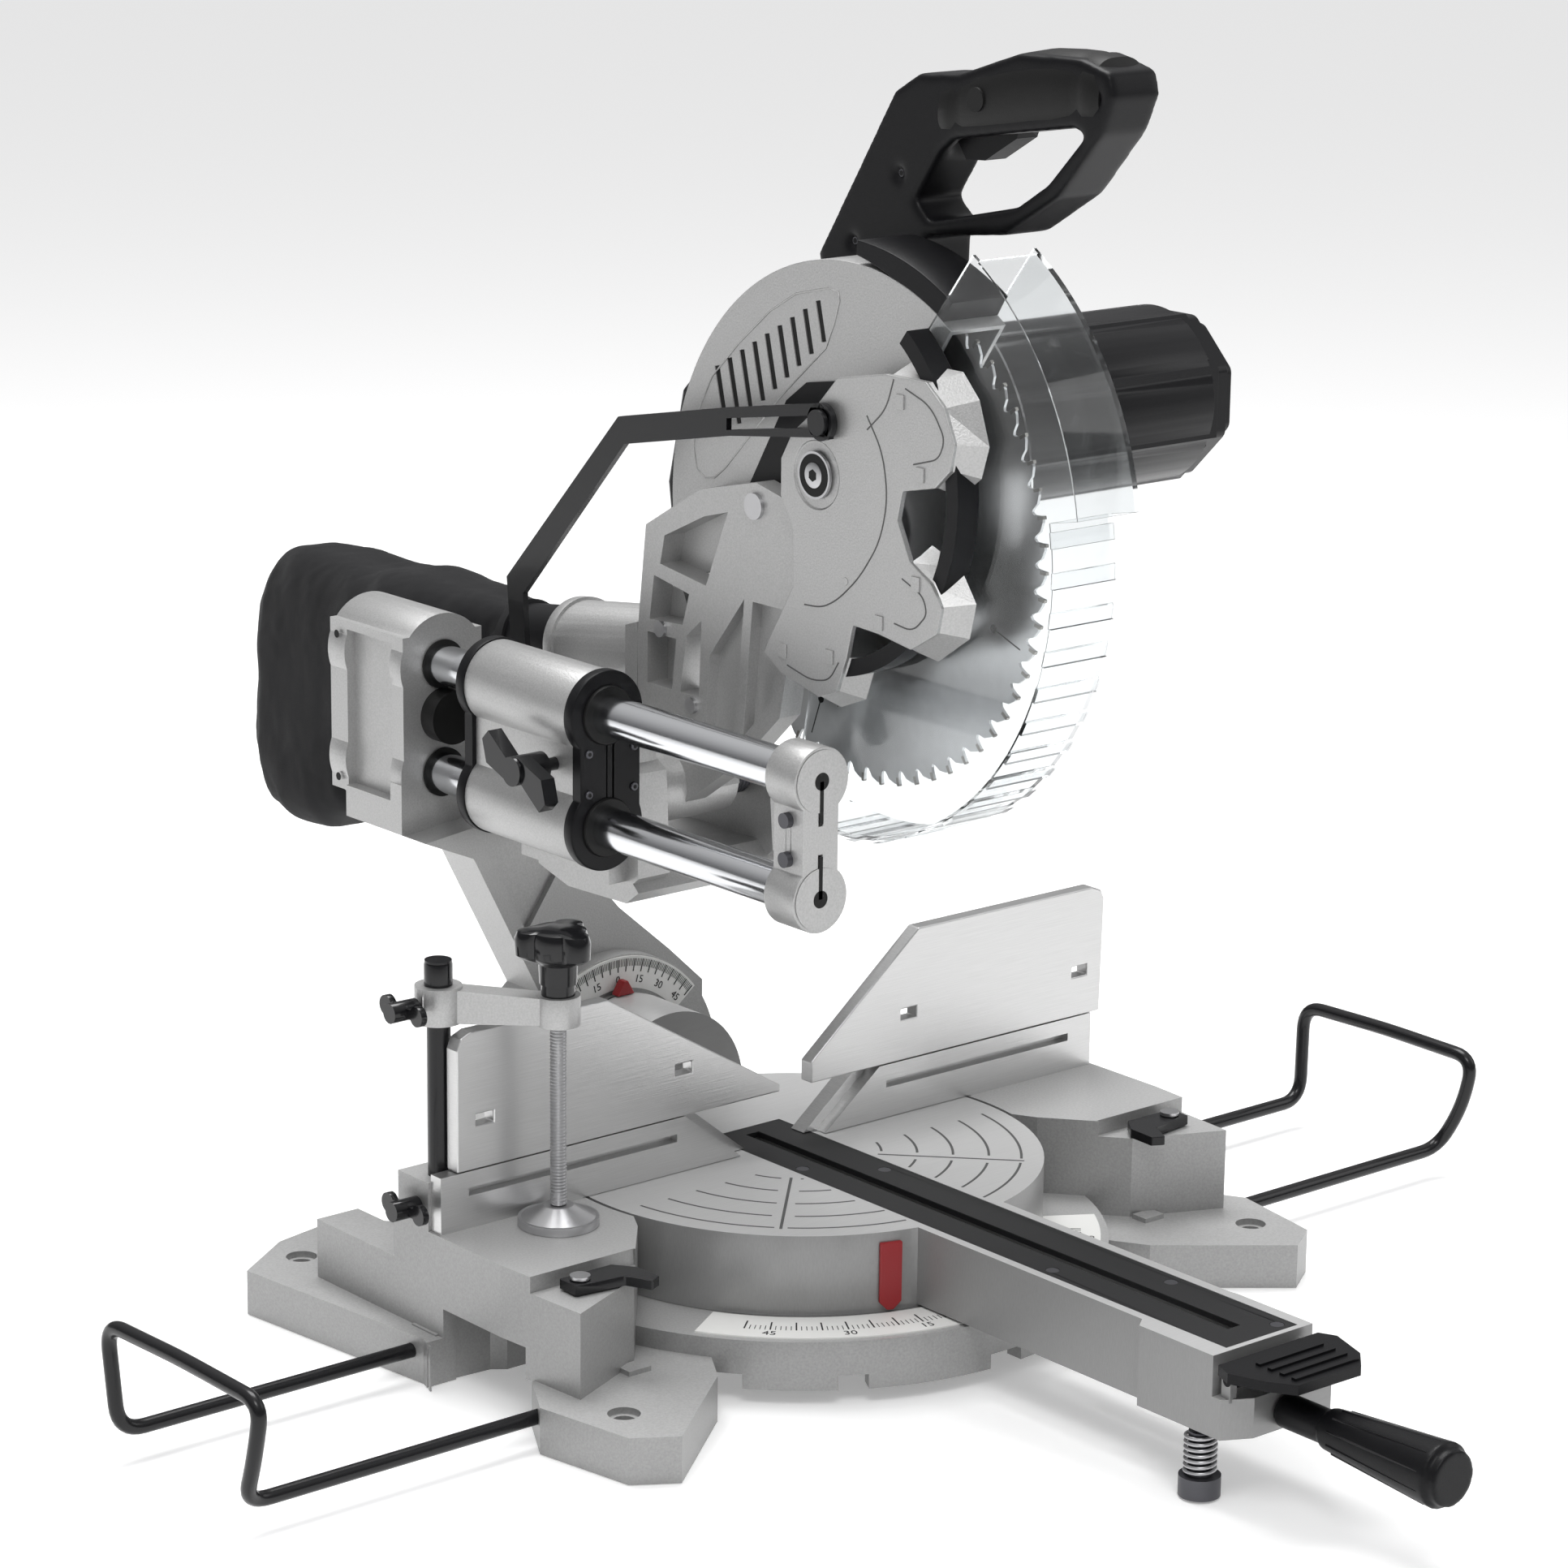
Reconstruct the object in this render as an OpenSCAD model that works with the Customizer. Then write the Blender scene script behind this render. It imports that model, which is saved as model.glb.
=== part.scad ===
// Sliding compound mitre saw on its own cast base, 305 mm blade.
// World frame: origin at floor level under the centre of the bench holes,
// +X to the right along the fence, +Y to the back, +Z up. Fence face y = 0.

/* [Base] */
// Height of the table surface above the floor
table_z = 90; // [86:1:96]
// Half spacing of the bench holes along X
bench_x = 250; // [244:1:254]
// Half spacing of the bench holes along Y
bench_y = 160; // [156:1:166]
// Radius of the bench holes
bench_hole_r = 6.5; // [4.5:0.5:8]
// Outer radius of the mitre scale ring
ring_r = 193; // [190:1:194]

/* [Turntable] */
// Radius of the turntable
table_r = 152; // [148:1:153]
// Width of the slot in the kerf insert
kerf_w = 10; // [8:1:14]

/* [Fence] */
// Height of the top edge of the sliding fences
fence_top = 210; // [196:1:212]
// Thickness of the fences
fence_t = 10; // [8:1:10]

/* [Rails] */
// Radius of each guide rail
rail_r = 12.5; // [10:0.5:14]
// Clearance between rail and bushing
rail_clear = 0.05; // [0.02:0.01:0.1]

/* [Blade] */
// Radius of the saw blade
blade_r = 152.5; // [140:0.5:153]
// Thickness of the blade plate
blade_t = 2.4; // [1.8:0.1:3]
// Radius of the blade arbor hole
arbor_r = 12.7; // [8:0.1:15]

/* [Motor] */
// Radius of the motor housing over the flats
motor_r = 52; // [46:1:54]
// Length of the motor housing
motor_len = 195; // [160:5:200]

/* [Side supports] */
// Radius of the support wire
wire_r = 4.5; // [3.5:0.1:4.5]

/* [Hidden] */
$fn = 72;
px = 0;
piv_y = 75;
piv_z = 312;
cy = -72;
cz = 490;
gy = -74;
gz = 527;
rx = -110;
rz1 = 304;
rz2 = 373;
mit_y = -13;
mot_y = -70;
mot_z = 546;
post_x = -247;
post_y = 19;
scr_x = -194;
scr_y = -26;

// Node to draw, or all of them

// profile in (y, z), thickness along X
module yz(x0, x1) {
  translate([x0, 0, 0]) rotate([90, 0, 90]) linear_extrude(x1 - x0) children();
}

// profile in (x, z), thickness along Y
module xz(y0, y1) {
  translate([0, y1, 0]) rotate([90, 0, 0]) linear_extrude(y1 - y0) children();
}

module cx(x0, x1, y, z, r) {
  translate([x0, y, z]) rotate([0, 90, 0]) cylinder(r = r, h = x1 - x0);
}

module cyy(y0, y1, x, z, r) {
  translate([x, y1, z]) rotate([90, 0, 0]) cylinder(r = r, h = y1 - y0);
}

module both() {
  children();
  mirror([1, 0, 0]) children();
}

module block_plan() {
  polygon([[-130, -6], [-160, -58], [-199, -104], [-257, -129], [-262, -60], [-262, 45], [-135, 6]]);
}

module foot_front_plan() {
  polygon([[-282, -124], [-270, -190], [-245, -206], [-173, -149], [-150, -112], [-190, -60], [-262, -90]]);
}

module foot_rear_plan() {
  polygon([[-276, -10], [-272, 2], [-290, 160], [-246, 190], [-191, 202], [-118, 112], [-140, 60], [-180, -10]]);
}

module deck_plan(ro, ri) {
  intersection() {
    translate([0, mit_y]) circle(r = ro);
    translate([-260, -260]) square([520, 290]);
  }
  translate([0, mit_y]) circle(r = ri);
}

module base_casting() {
  color([0.74, 0.75, 0.76]) difference() {
    union() {
      translate([0, 0, 30]) linear_extrude(10) deck_plan(ring_r, 175);
      translate([0, 0, 10]) linear_extrude(30) difference() {
        deck_plan(ring_r, 175);
        deck_plan(181, 163);
      }
      both() {
        translate([0, 0, 27]) linear_extrude(table_z - 27) block_plan();
        linear_extrude(28) foot_front_plan();
        linear_extrude(28) foot_rear_plan();
        translate([-262, 30, 27]) cube([30, 95, 38]);
        translate([-262, 10, table_z - 2]) cube([30, 30, 32]);
        translate([post_x, post_y, 48]) cylinder(r = 14, h = table_z - 49);
        translate([-214, -119, 9]) cube([16, 12, 22]);
        translate([-264, 1, 2]) cube([74, 24, 27]);
        translate([-60, -119, 9]) cube([20, 12, 24]);
        translate([-60, 6, 9]) cube([20, 14, 24]);
      }
      translate([0, mit_y, 12]) cylinder(r = 26, h = 24);
      translate([-6, -190, 12]) cube([12, 340, 20]);
    }
    translate([0, mit_y, 40]) cylinder(r = table_r + 2.5, h = 80, $fn = 120);
    translate([0, mit_y, 5]) cylinder(r = 12.05, h = 50);
    translate([-5, -24, 2]) cube([10, 8, 4]);
    both() {
      // hollow under the block
      translate([0, 0, -1]) linear_extrude(73)
        polygon([[-196, -28], [-196, -60], [-212, -88], [-250, -106], [-253, -60], [-253, -2], [-228, -4]]);
      // side arch
      translate([-275, -82, -1]) cube([30, 78, 47]);
      // bench hole
      translate([-bench_x, -bench_y, -1]) cylinder(r = bench_hole_r, h = 40);
      translate([-bench_x, bench_y, -1]) cylinder(r = bench_hole_r, h = 40);
      translate([-bench_x, -bench_y, 24]) cylinder(r = bench_hole_r + 3, h = 10);
      translate([-bench_x, bench_y, 24]) cylinder(r = bench_hole_r + 3, h = 10);
      // clamp post socket
      translate([post_x, post_y, 58]) cylinder(r = 7.05, h = 80);
      // wing bolt bore into the socket
      cx(-275, post_x, post_y, 104, 3.05);
      // wire sockets
      cx(-300, -30, -114, 18, wire_r + 0.06);
      cx(-300, -30, 13, 18, wire_r + 0.06);
      // stop pocket at the front corner
      translate([-275, -140, 80]) cube([90, 54, 20]);
      translate([-235, -100, 70]) cylinder(r = 3, h = 20);
      // notches in the ring rim
      for (a = [30, 52]) translate([0, mit_y, 0]) rotate([0, 0, -90 - a]) translate([176, -9, 5]) cube([30, 18, 14]);
      // hollow in the rear foot
      translate([0, 0, -1]) linear_extrude(21)
        polygon([[-205, 60], [-268, 60], [-276, 128], [-232, 140], [-212, 176], [-150, 112]]);
    }
    translate([-12, -210, 5]) cube([24, 30, 14]);
    // fence bolt holes
    for (x = [-210, 210]) translate([x, 5, 74]) cylinder(r = 3, h = 20);
  }
}

module mitre_scale() {
  color([0.93, 0.93, 0.92]) translate([0, 0, 40]) linear_extrude(0.8) intersection() {
    difference() {
      translate([0, mit_y]) circle(r = 188, $fn = 120);
      translate([0, mit_y]) circle(r = 155, $fn = 120);
    }
    polygon([[0, mit_y], [-190, -130], [-150, -260], [150, -260], [190, -130]]);
  }
}

module lower_half() {
  xz(0, fence_t) polygon([[34, table_z + 0.4], [156, table_z + 0.4], [156, table_z], [260, table_z],
    [260, 125], [78, 125]]);
  translate([157, 9, table_z]) cube([70, 12, 12]);
  xz(fence_t - 1, 21) polygon([[24, table_z + 0.4], [75, table_z + 0.4], [75, 124], [66, 124]]);
  translate([75, 9, table_z + 0.4]) cube([80, 6, 9]);
}

module fence_lower() {
  color([0.78, 0.79, 0.80]) difference() {
    union() {
      lower_half();
      mirror([1, 0, 0]) lower_half();
    }
    for (x = [-210, 210]) translate([x, 5, 80]) cylinder(r = 3, h = 22);
    xz(fence_t, 30) polygon([[40, 96], [68, 96], [68, 116]]);
    xz(fence_t, 30) polygon([[-40, 96], [-68, 96], [-68, 116]]);
    xz(-1, 6.5) polygon([[84, 110], [240, 110], [240, 115], [84, 115]]);
    xz(-1, 6.5) polygon([[-84, 110], [-240, 110], [-240, 115], [-84, 115]]);
  }
}

module flip_stop_screws() {
  color([0.55, 0.55, 0.56]) both() {
    translate([-235, -100, 70]) cylinder(r = 3, h = 17.6);
    translate([-235, -100, 87.6]) cylinder(r = 6, h = 2);
  }
}

module turntable_casting() {
  color([0.80, 0.81, 0.82]) {
    turntable_body();
    difference() {
      for (x = [-36, 29]) translate([x, -424, 64]) cube([5, 7, 16]);
      cx(-40, 40, -421, 76, 3.05);
    }
  }
}

module turntable_body() {
  difference() {
    union() {
      translate([0, mit_y, 40.3]) cylinder(r = table_r, h = table_z - 40.3, $fn = 120);
      translate([0, 0, 42.3]) linear_extrude(table_z - 42.3)
        polygon([[-32, -120], [-32, -350], [-40, -356], [-40, -421], [-23, -430],
          [38, -430], [38, -356], [37, -350], [37, -120]]);
      translate([-45, 110, 42.3]) cube([90, 50, 40]);
      intersection() {
        cyy(110, 160, 0, 90, 58);
        translate([-60, 100, 42.3]) cube([120, 70, 120]);
      }
      translate([0, mit_y, 24]) cylinder(r = 12, h = 30);
    }
    // hollow under the disc
    translate([0, mit_y, 40]) difference() {
      cylinder(r = table_r - 9, h = 40);
      cylinder(r = 26, h = 40);
      translate([-8, -150, 0]) cube([16, 300, 40]);
      translate([-150, -6, 0]) cube([300, 12, 40]);
    }
    // hollow under the arm
    translate([-25, -346, 40]) cube([50, 178, 40]);
    // blade slot
    translate([-kerf_w / 2 - 2, -394, 60]) cube([kerf_w + 4, 426, 40]);
    // recess for the insert
    translate([-26.1, -410.1, table_z - 4]) cube([56.2, 450.2, 10]);
    // step behind the pedal
    translate([-60, -440, 66]) cube([120, 26, 40]);
    // bevel bolt
    cyy(100, 170, 0, 90, 10.05);
    // grip shaft
    cyy(-440, -396, 0, 54, 6.06);
    // foot screw
    translate([-31, -398, 30]) cylinder(r = 4.06, h = 50);
    // insert screws
    for (p = [[-18, -40], [20, -72], [-18, -262], [22, -318], [22, -402]]) translate([p[0], p[1], 76]) cylinder(r = 2, h = 20);
  }
}

module kerf_insert() {
  color([0.13, 0.13, 0.14]) difference() {
    translate([-26, -410, table_z - 4]) cube([56, 450, 3.8]);
    translate([-kerf_w / 2, -390, table_z - 6]) cube([kerf_w, 420, 10]);
    for (p = [[-18, -40], [20, -72], [-18, -262], [22, -318], [22, -402]]) {
      translate([p[0], p[1], 80]) cylinder(r = 2, h = 20);
      translate([p[0], p[1], table_z - 1.6]) cylinder(r = 4, h = 10);
    }
  }
}

module insert_screws() {
  color([0.70, 0.70, 0.71]) for (p = [[-18, -40], [20, -72], [-18, -262], [22, -318], [22, -402]]) {
    translate([p[0], p[1], 78]) cylinder(r = 2, h = 10.4);
    translate([p[0], p[1], table_z - 1.6]) cylinder(r = 3.9, h = 1.2);
  }
}

module mitre_pointer() {
  translate([0, mit_y, 0]) rotate([0, 0, -19])
    translate([0, -table_r - 0.2, 0]) rotate([90, 0, 0]) linear_extrude(2.4)
      polygon([[-7, 84], [7, 84], [7, 47], [2, 42], [-2, 42], [-7, 47]]);
}

module bevel_pointer() {
  xz(157, 163.6) polygon([[-7, 148.2], [7, 148.2], [1.5, 157.5], [-1.5, 157.5]]);
}

module pointers() {
  color([0.75, 0.08, 0.07]) {
    mitre_pointer();
    bevel_pointer();
  }
}

module bevel_pivot_bolt() {
  color([0.62, 0.62, 0.63]) {
    cyy(112, 244, 0, 90, 10);
    cyy(244.3, 254, 0, 90, 16);
  }
}

module detent_bar() {
  color([0.10, 0.10, 0.11]) {
    cyy(-396, -255, 12, 37.2, 5);
    translate([8, -392, 37]) cube([8, 10, 5.2]);
    translate([8, -270, 37]) cube([8, 10, 5.2]);
  }
}

module boss_plan(r) {
  difference() {
    translate([0, 90]) circle(r = r);
    translate([0, 90 - 2 * r]) square([2 * r, 2 * r]);
    translate([-2 * r, 66 - 2 * r]) square([2 * r + 1, 2 * r]);
  }
}

module bevel_arm_casting() {
  color([0.74, 0.75, 0.76]) difference() {
    union() {
      xz(167, 215) boss_plan(82);
      cyy(163.5, 215, 0, 90, 57);
      cyy(210, 243, 0, 90, 30);
      xz(180, 215) polygon([[-50, 150], [-103, 251], [-140, 267], [-78, 274], [-58, 276], [-40, 262],
        [-14, 228], [12, 199], [53, 164], [81, 138], [81, 92], [0, 88]]);
      translate([-140, 202, 284]) cube([60, 78, 109]);
      cyy(202, 280, rx, rz1, 32);
      cyy(202, 280, rx, rz2, 32);
      xz(202, 262) polygon([[-142, 300], [-142, 268], [-103, 251], [-84, 262], [-78, 300]]);
    }
    cyy(160, 260, 0, 90, 10.05);
    cyy(150, 290, rx, rz1, rail_r);
    cyy(150, 290, rx, rz2, rail_r);
    translate([-146, 214, 288]) cube([12, 48, 100]);
    cyy(190, 216, rx, 341, 4);
    // weight pocket on the back of the arm
    xz(192, 220) polygon([[-60, 170], [-104, 256], [-86, 268], [-64, 262], [-30, 224]]);
    // relief on the front face
    xz(178, 184) polygon([[-62, 196], [-94, 256], [-60, 268], [-34, 236]]);
  }
}

module bevel_scale() {
  color([0.93, 0.93, 0.92]) xz(165.8, 167) intersection() {
    difference() {
      translate([0, 90]) circle(r = 81);
      translate([0, 90]) circle(r = 60);
    }
    polygon([[0, 90], [-100, 170], [-60, 200], [60, 200], [100, 170]]);
  }
}

module rails() {
  color([0.85, 0.86, 0.88]) {
    cyy(-160, 272, rx, rz1, rail_r);
    cyy(-160, 272, rx, rz2, rail_r);
  }
}

module rail_bracket() {
  color([0.74, 0.75, 0.76]) difference() {
    union() {
      cyy(-160, -134, rx, rz1, 20);
      cyy(-160, -134, rx, rz2, 20);
      translate([rx - 13, -160, rz1]) cube([26, 26, rz2 - rz1]);
    }
    cyy(-170, -120, rx, rz1, rail_r);
    cyy(-170, -120, rx, rz2, rail_r);
    translate([rx - 1.5, -170, rz1 + 8]) cube([3, 50, 18]);
    translate([rx - 1.5, -170, rz2 - 26]) cube([3, 50, 18]);
    cx(rx - 14, rx + 14, -147, 327, 2.5);
    cx(rx - 14, rx + 14, -147, 350, 2.5);
  }
}

module bracket_screws() {
  color([0.62, 0.62, 0.63]) for (z = [327, 350]) {
    cx(rx - 13, rx - 2, -147, z, 2.5);
    cx(rx - 17, rx - 13, -147, z, 4.5);
  }
}

module rail_bumper() {
  color([0.06, 0.06, 0.06]) {
    cyy(189, 202, rx, 341, 17);
    cyy(202, 214, rx, 341, 3.9);
  }
}

module bevel_lever() {
  color([0.10, 0.10, 0.11]) difference() {
    union() {
      cyy(256, 272, 0, 90, 20);
      xz(258, 270) polygon([[-14, 84], [14, 84], [9, 44], [0, 36], [-9, 44]]);
    }
    cyy(250, 264, 0, 90, 10.05);
  }
}

module carriage_casting() {
  color([0.76, 0.77, 0.78]) difference() {
    union() {
      cyy(44, 144, rx, rz1, 26);
      cyy(44, 144, rx, rz2, 26);
      translate([rx - 17, 44, rz1]) cube([43, 100, rz2 - rz1]);
      // floor of the pivot housing
      translate([-96, 52, 262]) cube([36, 88, 84]);
      yz(-82.9, 34) polygon([[40, 257], [52, 248], [110, 246], [140, 254], [140, 266], [118, 270], [54, 270]]);
      // cheeks
      yz(-82.9, -58.5) polygon([[40, 266], [44, 330], [66, 342], [100, 342], [140, 330], [140, 254], [60, 250]]);
      yz(22.5, 34) polygon([[40, 266], [44, 312], [56, 336], [94, 336], [112, 312], [140, 270], [140, 254], [60, 250]]);
      // lug for the guard link
      yz(-68, -56) polygon([[120, 318], [190, 321], [206, 325], [206, 337], [190, 341], [120, 340]]);
    }
    cyy(30, 160, rx, rz1, 16);
    cyy(30, 160, rx, rz2, 16);
    translate([rx - 3, 38, 332]) cube([6, 112, 14]);
    // room for the pivot barrel
    cx(-58.5, 22.5, piv_y, piv_z, 42.5);
    cx(-90, 40, piv_y, piv_z, 8);
    cx(-70, -50, 197, 331, 5);
    // slide lock stem
    cx(-130, -122, 65, 340, 4.05);
    cx(-130, -110, 65, 340, 4.05);
  }
}

module carriage_end_plates() {
  color([0.07, 0.07, 0.07]) for (y = [36, 144]) difference() {
    union() {
      cyy(y, y + 8, rx, rz1, 27);
      cyy(y, y + 8, rx, rz2, 27);
      translate([rx - 20, y, rz1]) cube([45, 8, rz2 - rz1]);
    }
    cyy(y - 5, y + 15, rx, rz1, rail_r + 1.2);
    cyy(y - 5, y + 15, rx, rz2, rail_r + 1.2);
  }
}

module carriage_bushings() {
  color([0.60, 0.52, 0.36]) for (y = [44, 116], z = [rz1, rz2]) difference() {
    cyy(y, y + 28, rx, z, 16);
    cyy(y - 1, y + 29, rx, z, rail_r + rail_clear);
  }
}

module head_pivot_pin() {
  color([0.62, 0.62, 0.63]) {
    cx(-84, 36, piv_y, piv_z, 8);
    cx(34, 40, piv_y, piv_z, 13);
    cx(-68, -44.2, 197, 331, 5);
    cx(-44.2, -40, 197, 331, 8);
  }
}

module torsion_spring() {
  color([0.14, 0.14, 0.15]) for (i = [0 : 3]) translate([8.5 + i * 3.6, piv_y, piv_z]) rotate([0, 90, 0])
    rotate_extrude($fn = 48) translate([14, 0]) circle(r = 1.6, $fn = 16);
}

module slide_lock_knob() {
  color([0.05, 0.05, 0.05]) {
    cx(-150, -116, 65, 340, 4);
    cx(-160, -136.5, 65, 340, 9);
    yz(-158, -148) polygon([[61, 336], [40, 320], [34, 326], [38, 340], [62, 349], [69, 344], [90, 360],
      [96, 354], [92, 340], [68, 331]]);
  }
}

module head_arm() {
  color([0.77, 0.78, 0.79]) difference() {
    union() {
      cx(-58, 4, piv_y, piv_z, 24);
      yz(-37, -21) polygon([[-58, 500], [-50, 446], [-36, 374], [0, 340], [54, 303], [75, 300], [98, 306],
        [100, 400], [92, 470], [40, 500], [-12, 512], [-40, 506]]);
      yz(-37, 4) polygon([[50, 310], [98, 310], [98, 352], [60, 346]]);
    }
    cx(-60, 10, piv_y, piv_z, 8.05);
    // channel pockets between the ribs
    yz(-40, -29) polygon([[-40, 440], [-28, 382], [-2, 356], [-10, 440]]);
    yz(-40, -29) polygon([[-2, 440], [6, 350], [36, 330], [30, 400]]);
    yz(-40, -20) polygon([[40, 372], [58, 372], [52, 408], [38, 420]]);
    yz(-40, -20) polygon([[66, 372], [90, 372], [90, 404], [62, 404]]);
    yz(-40, -20) polygon([[56, 414], [88, 412], [84, 440], [50, 434]]);
    yz(-40, -20) polygon([[34, 442], [78, 448], [74, 466], [36, 484], [14, 490]]);
    cx(-60, 10, -12, 498, 4);
    // seat of the guard pivot
    cx(-60, 10, gy, gz, 20);
    cx(-60, -10, cy, cz, 24);
  }
}

module sector(r) {
  intersection() {
    translate([cy, cz]) circle(r = r, $fn = 144);
    polygon([[cy, cz], [cy + 300 * cos(-20), cz + 300 * sin(-20)], [cy + 300, cz + 160],
      [cy + 200, cz + 300], [cy - 60, cz + 300], [cy + 300 * cos(125), cz + 300 * sin(125)]]);
  }
}

module upper_guard() {
  color([0.78, 0.79, 0.80]) difference() {
    yz(-21, 21) sector(158.5);
    cx(-18, 18, cy, cz, 155.5);
    // arbor openings
    cx(-25, -10, cy, cz, 30);
    cx(10, 25, cy, cz, 14);
    cx(-25, -10, gy, gz, 8);
    // slanted vents
    for (i = [0 : 8]) translate([-30, -50 + i * 11.2, 611 - i * 7.4]) rotate([-14, 0, 0])
      translate([0, -2.2, -12 - i * 1.1]) cube([15, 4.4, 24 + i * 2.2]);
  }
}

module gear_case() {
  color([0.74, 0.75, 0.76]) difference() {
    union() {
      cx(21, 40, cy, cz, 44);
      cx(21, 40, mot_y, mot_z, 50);
      yz(21, 40) polygon([[-116, 490], [-28, 490], [-20, 546], [-120, 546]]);
      yz(26, 40) polygon([[-40, 452], [-20, 452], [-20, 596], [-76, 596], [-90, 560]]);
    }
    cx(10, 38.5, cy, cz, 8.05);
  }
}

module retainer_plate() {
  yz(-21.9, -21) polygon([[-42, 571], [-35, 551], [-22, 530], [-30, 519],
    [-50, 552], [-58, 566]]);
}

module head_bolts() {
  color([0.55, 0.55, 0.56]) {
    cx(-37, -21.1, -12, 498, 4);
    cx(-39.5, -37, -12, 498, 8);
    cx(-39.5, -37, 76, 408, 5);
    cx(-39.5, -37, 46, 366, 5);
  }
}

module guard_trim() {
  color([0.07, 0.07, 0.08]) {
    retainer_plate();
    crescent();
  }
}

module crescent() {
  difference() {
    intersection() {
      cx(-21, 21, cy, cz, 172);
      yz(-21, 21) polygon([[cy, cz], [cy + 300 * cos(93), cz + 300 * sin(93)],
        [cy + 300 * cos(122), cz + 300 * sin(122)]]);
    }
    cx(-30, 30, cy, cz, 158.5);
    cx(-30, 30, cy + 22, cz + 8, 158);
  }
}

module octagon(r) {
  polygon([for (i = [0 : 7]) [mot_y + r * cos(22.5 + 45 * i), mot_z + r * sin(22.5 + 45 * i)]]);
}

module motor_housing() {
  color([0.09, 0.09, 0.10]) {
    yz(40, 40 + motor_len) octagon(motor_r + 3);
    cx(48, 40 + motor_len - 6, mot_y, mot_z, motor_r + 2);
  }
}

module motor_cap() {
  color([0.07, 0.07, 0.08]) difference() {
    union() {
      yz(40 + motor_len, 50 + motor_len) octagon(motor_r + 1);
      yz(50 + motor_len, 60 + motor_len) octagon(motor_r - 6);
    }
    for (i = [0 : 5]) translate([45 + motor_len, mot_y - 26, mot_z - 26 + i * 9]) cube([30, 52, 4]);
  }
}

module drive_cover() {
  color([0.07, 0.07, 0.08]) yz(26, 60)
    polygon([[-15.5, 452], [60, 432], [128, 434], [148, 452], [152, 480], [138, 540], [120, 558], [60, 562],
      [-15.5, 560]]);
}

module handle() {
  color([0.08, 0.08, 0.09]) difference() {
    union() {
      yz(28, 66) polygon([[12, 639], [-25, 696], [-54, 741], [-75, 753], [-110, 756], [-160, 772],
        [-209, 773], [-232, 767], [-236, 754], [-227, 733], [-193, 694], [-150, 668], [-84, 660],
        [-80, 612], [-10, 612], [6, 622]]);
      yz(41, 64) polygon([[-90, 598], [-48, 598], [-20, 596], [4, 615], [-82, 615]]);
    }
    yz(20, 80) polygon([[-106, 718], [-205, 734], [-214, 731], [-185, 701], [-159, 685], [-86, 669],
      [-74, 680], [-94, 709]]);
    // trigger pocket
    yz(38, 56) polygon([[-92, 700], [-168, 722], [-160, 746], [-92, 744]]);
    // trigger pin bore
    cx(36.5, 57.5, -100, 731, 2.55);
    // lock button bore
    cx(20, 40, -128, 743, 7.06);
    // side screw sockets
    cx(20, 32, -60, 694, 4);
    cx(20, 32, -222, 752, 4);
    cx(20, 32, -20, 650, 4);
    cx(30, 70, mot_y, mot_z, 56);
  }
}

module trigger() {
  color([0.05, 0.05, 0.05]) {
    yz(39, 55) polygon([[-98, 734], [-97, 718], [-106, 706], [-122, 707], [-148, 722], [-152, 732],
      [-128, 735]]);
    cx(37, 57, -100, 731, 2.5);
  }
}

module lock_button() {
  color([0.05, 0.05, 0.05]) cx(24.4, 34, -128, 743, 7);
}

module dust_port() {
  color([0.76, 0.77, 0.78]) difference() {
    union() {
      translate([0, 106, 383.3]) rotate([-97.8, 0, 0]) cylinder(r = 28, h = 99);
      translate([0, 197, 371]) rotate([-97.8, 0, 0]) cylinder(r = 30, h = 8);
      yz(-21, 21) polygon([[67, 412], [79, 437], [104, 412], [106, 357], [62, 372]]);
      yz(-37, -21) polygon([[100, 360], [112, 362], [112, 404], [100, 408]]);
    }
    translate([0, 101, 384]) rotate([-97.8, 0, 0]) cylinder(r = 24, h = 130);
    yz(-17, 17) polygon([[40, 408], [79, 432], [98, 408], [102, 364], [40, 376]]);
    yz(-37.5, -21) polygon([[60, 300], [100, 300], [100, 400], [92, 470], [60, 470]]);
  }
}

module bag_neck() {
  color([0.06, 0.06, 0.06]) difference() {
    translate([0, 186, 372.3]) rotate([-97.8, 0, 0]) cylinder(r = 23.9, h = 92);
    translate([0, 180, 372.9]) rotate([-97.8, 0, 0]) cylinder(r = 20.5, h = 120);
  }
}

module dust_bag() {
  color([0.07, 0.07, 0.08]) {
    yz(-46, 46) polygon([[273.4, 332], [280.53, 384], [430, 390], [520, 386], [532, 330], [516, 206], [496, 190],
      [420, 192], [396, 210], [392, 320]]);
  }
}

module blade() {
  color([0.72, 0.73, 0.74]) difference() {
    cx(-blade_t / 2, blade_t / 2, cy, cz, blade_r);
    cx(-10, 10, cy, cz, arbor_r);
    for (a = [20, 110, 200, 290]) translate([-5, cy + 128 * cos(a), cz + 128 * sin(a)]) rotate([a, 0, 0])
      cube([10, 26, 1.6]);
  }
}

module arbor() {
  color([0.55, 0.55, 0.56]) {
    cx(-9, 38, cy, cz, 8);
    cx(-blade_t / 2, blade_t / 2, cy, cz, arbor_r);
    cx(-16, -9, cy, cz, 9.5);
  }
}

module blade_flanges() {
  color([0.50, 0.50, 0.52]) difference() {
    union() {
      cx(-9, -blade_t / 2, cy, cz, 25);
      cx(blade_t / 2, 9, cy, cz, 25);
    }
    cx(-20, 20, cy, cz, 8);
  }
}

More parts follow.
